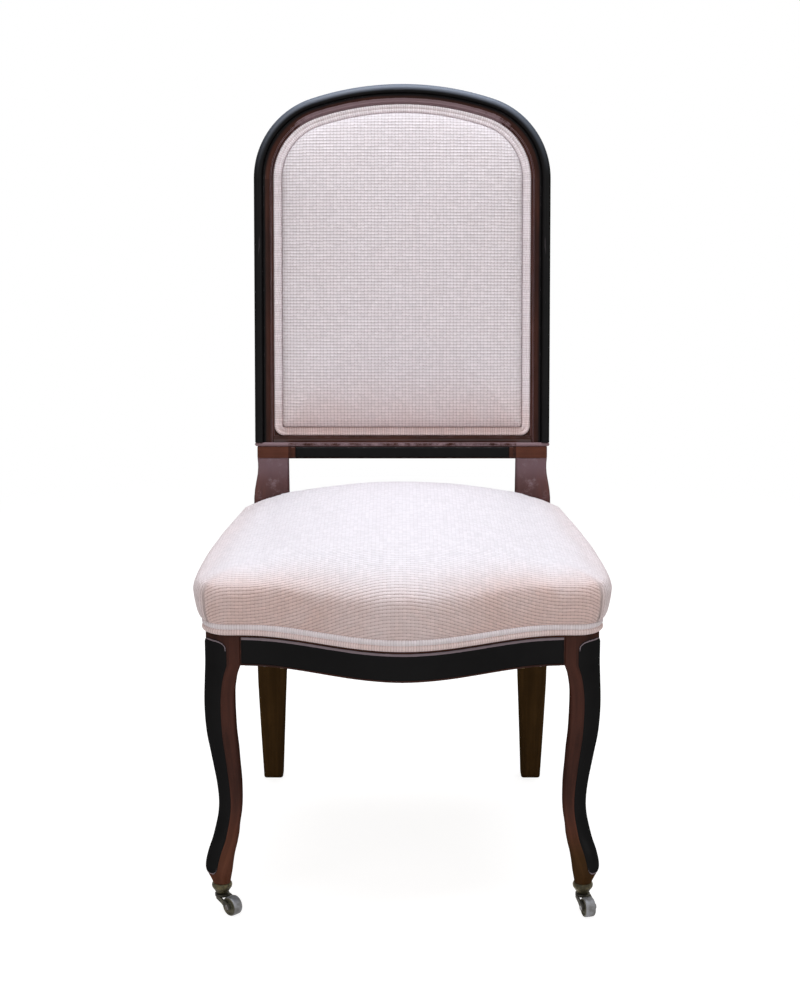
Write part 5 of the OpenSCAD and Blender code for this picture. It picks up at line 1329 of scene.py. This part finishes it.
class CHAIR_OT_inside(bpy.types.Operator):
    """Finishes the nodes that keep their own shape: casters, blocks, screws, springs and webbing"""
    bl_idname = "chair.inside"
    bl_label = "Casters and inner parts"

    def execute(self, context):
        slots = {s["node"]: s["material_slot"] for s in frame["record"]["subparts"]}
        for name, node in frame["nodes"].items():
            key = slots[name]
            material = MATERIALS["brown cad" if key in ("brown", "ebonised") else key]
            node.data.materials.clear()
            node.data.materials.append(material)
            node.data.polygons.foreach_set("material_index", np.zeros(len(node.data.polygons), int))
            if name.startswith("caster_wheel"):
                self.mark_tread(node, CASTER_YAW[name.rsplit("_", 1)[1]])
            if name.startswith("caster_"):
                self.soften(node, 0.00035)
        return {"FINISHED"}

    def mark_tread(self, wheel, yaw):
        """Marks the faces of a wheel that run on the floor, which stay rubbed."""
        tread_from = 0.0108
        low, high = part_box(wheel.name)
        middle = (low + high) / 2
        axle = Vector((-sin(radians(yaw)), cos(radians(yaw)), 0))
        tread = []
        for face in wheel.data.polygons:
            arm = wheel.matrix_world @ face.center - middle
            tread.append(float((arm - axle * arm.dot(axle)).length > tread_from))
        wheel.data.attributes.new("tread", "FLOAT", "FACE").data.foreach_set("value", tread)

    def soften(self, node, width):
        """Rounds a caster's edges."""
        weld = node.modifiers.new("Weld", "WELD")
        weld.merge_threshold = 2e-6
        bevel = node.modifiers.new("Worn edges", "BEVEL")
        bevel.width = width
        bevel.segments = 2
        bevel.limit_method = "ANGLE"
        bevel.angle_limit = radians(40)


class CHAIR_OT_underside(bpy.types.Operator):
    """Builds the cloth tacked under the seat"""
    bl_idname = "chair.underside"
    bl_label = "Bottom cloth"

    def execute(self, context):
        inset, room, thickness = 13.4, 0.3, 0.7
        low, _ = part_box("bottom_cloth")
        line, normal = seat_plan()
        edge = line - normal * inset
        by_stile = (np.abs(edge[:, 0]) > STILE_IN - room) & (edge[:, 1] > SEAT_DEPTH - room)
        edge[by_stile, 1] = SEAT_DEPTH - room
        by_leg = (np.abs(edge[:, 0]) > BOW_HALF - room) & (edge[:, 1] < BLOCK_W + room)
        edge[by_leg, 1] = BLOCK_W + room
        points, flat = cloth_rings(edge, normal * 0, SEAT_CENTRE, DUST_CLOTH_ROWS, 3)
        points[..., 2] += low.z / MM + 0.25
        top = points.copy()
        top[..., 2] += thickness
        shell = grid(np.concatenate([top[::-1], points]), np.concatenate([flat[::-1], flat]), around=True,
                     caps=True)
        cloth = build("dust_cloth", [shell], "black_cloth", ["bottom_cloth"], sharp=60)
        return {"FINISHED"}


# Name, place and aim in metres, size in metres, power in watts and colour of each light
LAMPS = [("top light", (0.1, -0.1, 3.0), (0, 0.1, 0.5), 2.2, 71, (0.86, 0.925, 1.0)),
         ("key light", (-1.3, -2.4, 2.7), (0, 0, 0.5), 2.0, 19, (0.99, 0.98, 0.99)),
         ("fill light", (2.5, -1.7, 1.7), (0, 0, 0.45), 2.0, 8, (1.0, 0.98, 0.96))]
CAMERA_PLACE = (-0.003, -2.57977, 1.091)
CAMERA_TILT = radians(76.46)
SENSOR_W = 36
ROOM_COLOUR, ROOM_STRENGTH = (1.0, 0.9, 0.84), 0.29
FLOOR_COLOUR = (0.8, 0.785, 0.77)


def seen(n):
    """1 for the rays that show the backdrop: to the camera, in a reflection and through glass."""
    path = n.add("ShaderNodeLightPath")
    plain = n.math("ADD", path.outputs["Is Camera Ray"], path.outputs["Is Glossy Ray"])
    return n.math("ADD", plain, path.outputs["Is Transmission Ray"], clamp=True)


class CHAIR_OT_stage(bpy.types.Operator):
    """Sets the floor, the lights, the world and the camera"""
    bl_idname = "chair.stage"
    bl_label = "Stage"

    def execute(self, context):
        scene = context.scene
        scene.view_settings.view_transform = "Standard"
        self.floor()
        self.world(scene)
        for lamp in LAMPS:
            self.lamp(*lamp)
        data = bpy.data.cameras.new("camera")
        data.lens = scene.chair_sizes.camera_lens
        data.sensor_width = SENSOR_W
        camera = bpy.data.objects.new("camera", data)
        camera.location = CAMERA_PLACE
        camera.rotation_euler = (CAMERA_TILT, 0, 0)
        scene.collection.objects.link(camera)
        scene.camera = camera
        return {"FINISHED"}

    def floor(self):
        """A pale disc that shows white and keeps the chair's shadow."""
        mesh = bpy.data.meshes.new("floor")
        bm = bmesh.new()
        bmesh.ops.create_circle(bm, cap_ends=True, segments=96, radius=14)
        bm.to_mesh(mesh)
        bm.free()
        floor = bpy.data.objects.new("floor", mesh)
        floor.location = (0, 0, -0.0002)
        bpy.context.scene.collection.objects.link(floor)
        material, n, shader = new_material("Pale floor", 0.9, specular=0.0)
        shown = seen(n)
        far = n.ramp(n.vector("LENGTH", coordinates(n, "Object")), 0.8, 2.2)
        glow = n.math("MULTIPLY_ADD", far, 0.13, 0.87)
        n.put(shader.inputs["Emission Strength"], n.math("MULTIPLY", shown, glow))
        hidden = n.math("SUBTRACT", 1, n.math("MULTIPLY", n.math("MULTIPLY_ADD", far, 0.5, 0.5), shown))
        n.put(shader.inputs["Base Color"], n.blend(hidden, (0, 0, 0, 1), shade(FLOOR_COLOUR)))
        shader.inputs["Emission Color"].default_value = (1, 1, 1, 1)
        mesh.materials.append(material)

    def world(self, scene):
        """A dim, warm room that shows as plain white."""
        world = bpy.data.worlds.new("studio")
        scene.world = world
        world.use_nodes = True
        n = Nodes(world.node_tree)
        world.node_tree.nodes.clear()
        choice = n.add("ShaderNodeMixShader")
        n.put(choice.inputs[0], seen(n))
        for socket, colour, strength in ((1, ROOM_COLOUR, ROOM_STRENGTH), (2, (1, 1, 1), 1.0)):
            light = n.add("ShaderNodeBackground")
            light.inputs["Color"].default_value = (*colour, 1)
            light.inputs["Strength"].default_value = strength
            n.put(choice.inputs[socket], light.outputs[0])
        n.put(n.add("ShaderNodeOutputWorld").inputs[0], choice.outputs[0])

    def lamp(self, name, place, aim, size, watts, colour):
        data = bpy.data.lights.new(name, "AREA")
        data.shape = "SQUARE"
        data.size = size
        data.energy = watts
        data.color = colour
        lamp = bpy.data.objects.new(name, data)
        lamp.location = place
        lamp.rotation_euler = (Vector(aim) - Vector(place)).to_track_quat("-Z", "Y").to_euler()
        bpy.context.scene.collection.objects.link(lamp)


OPERATORS = [CHAIR_OT_inside, CHAIR_OT_frame, CHAIR_OT_legs, CHAIR_OT_rails, CHAIR_OT_seat, CHAIR_OT_back,
             CHAIR_OT_underside, CHAIR_OT_stage]


class CHAIR_PT_panel(bpy.types.Panel):
    """Sizes, colours and the pieces of the chair"""
    bl_idname = "CHAIR_PT_panel"
    bl_label = "Chair"
    bl_space_type = "VIEW_3D"
    bl_region_type = "UI"
    bl_category = "Chair"

    def draw(self, context):
        for group in (context.scene.chair_sizes, context.scene.chair_finish):
            for key in group.__annotations__:
                self.layout.prop(group, key)
        for operator in OPERATORS:
            self.layout.operator(operator.bl_idname)


CLASSES = [ChairSizes, ChairFinish, *OPERATORS, CHAIR_PT_panel]


def register():
    for c in CLASSES:
        bpy.utils.register_class(c)
    bpy.types.Scene.chair_sizes = PointerProperty(type=ChairSizes)
    bpy.types.Scene.chair_finish = PointerProperty(type=ChairFinish)


def unregister():
    del bpy.types.Scene.chair_sizes
    del bpy.types.Scene.chair_finish
    for c in reversed(CLASSES):
        bpy.utils.unregister_class(c)


def main():
    register()
    scene = bpy.context.scene
    make_materials(scene.chair_finish, scene.chair_sizes)
    for operator in OPERATORS:
        space, name = operator.bl_idname.split(".")
        getattr(getattr(bpy.ops, space), name)()
    bpy.context.view_layer.update()


if __name__ == "__main__":
    main()
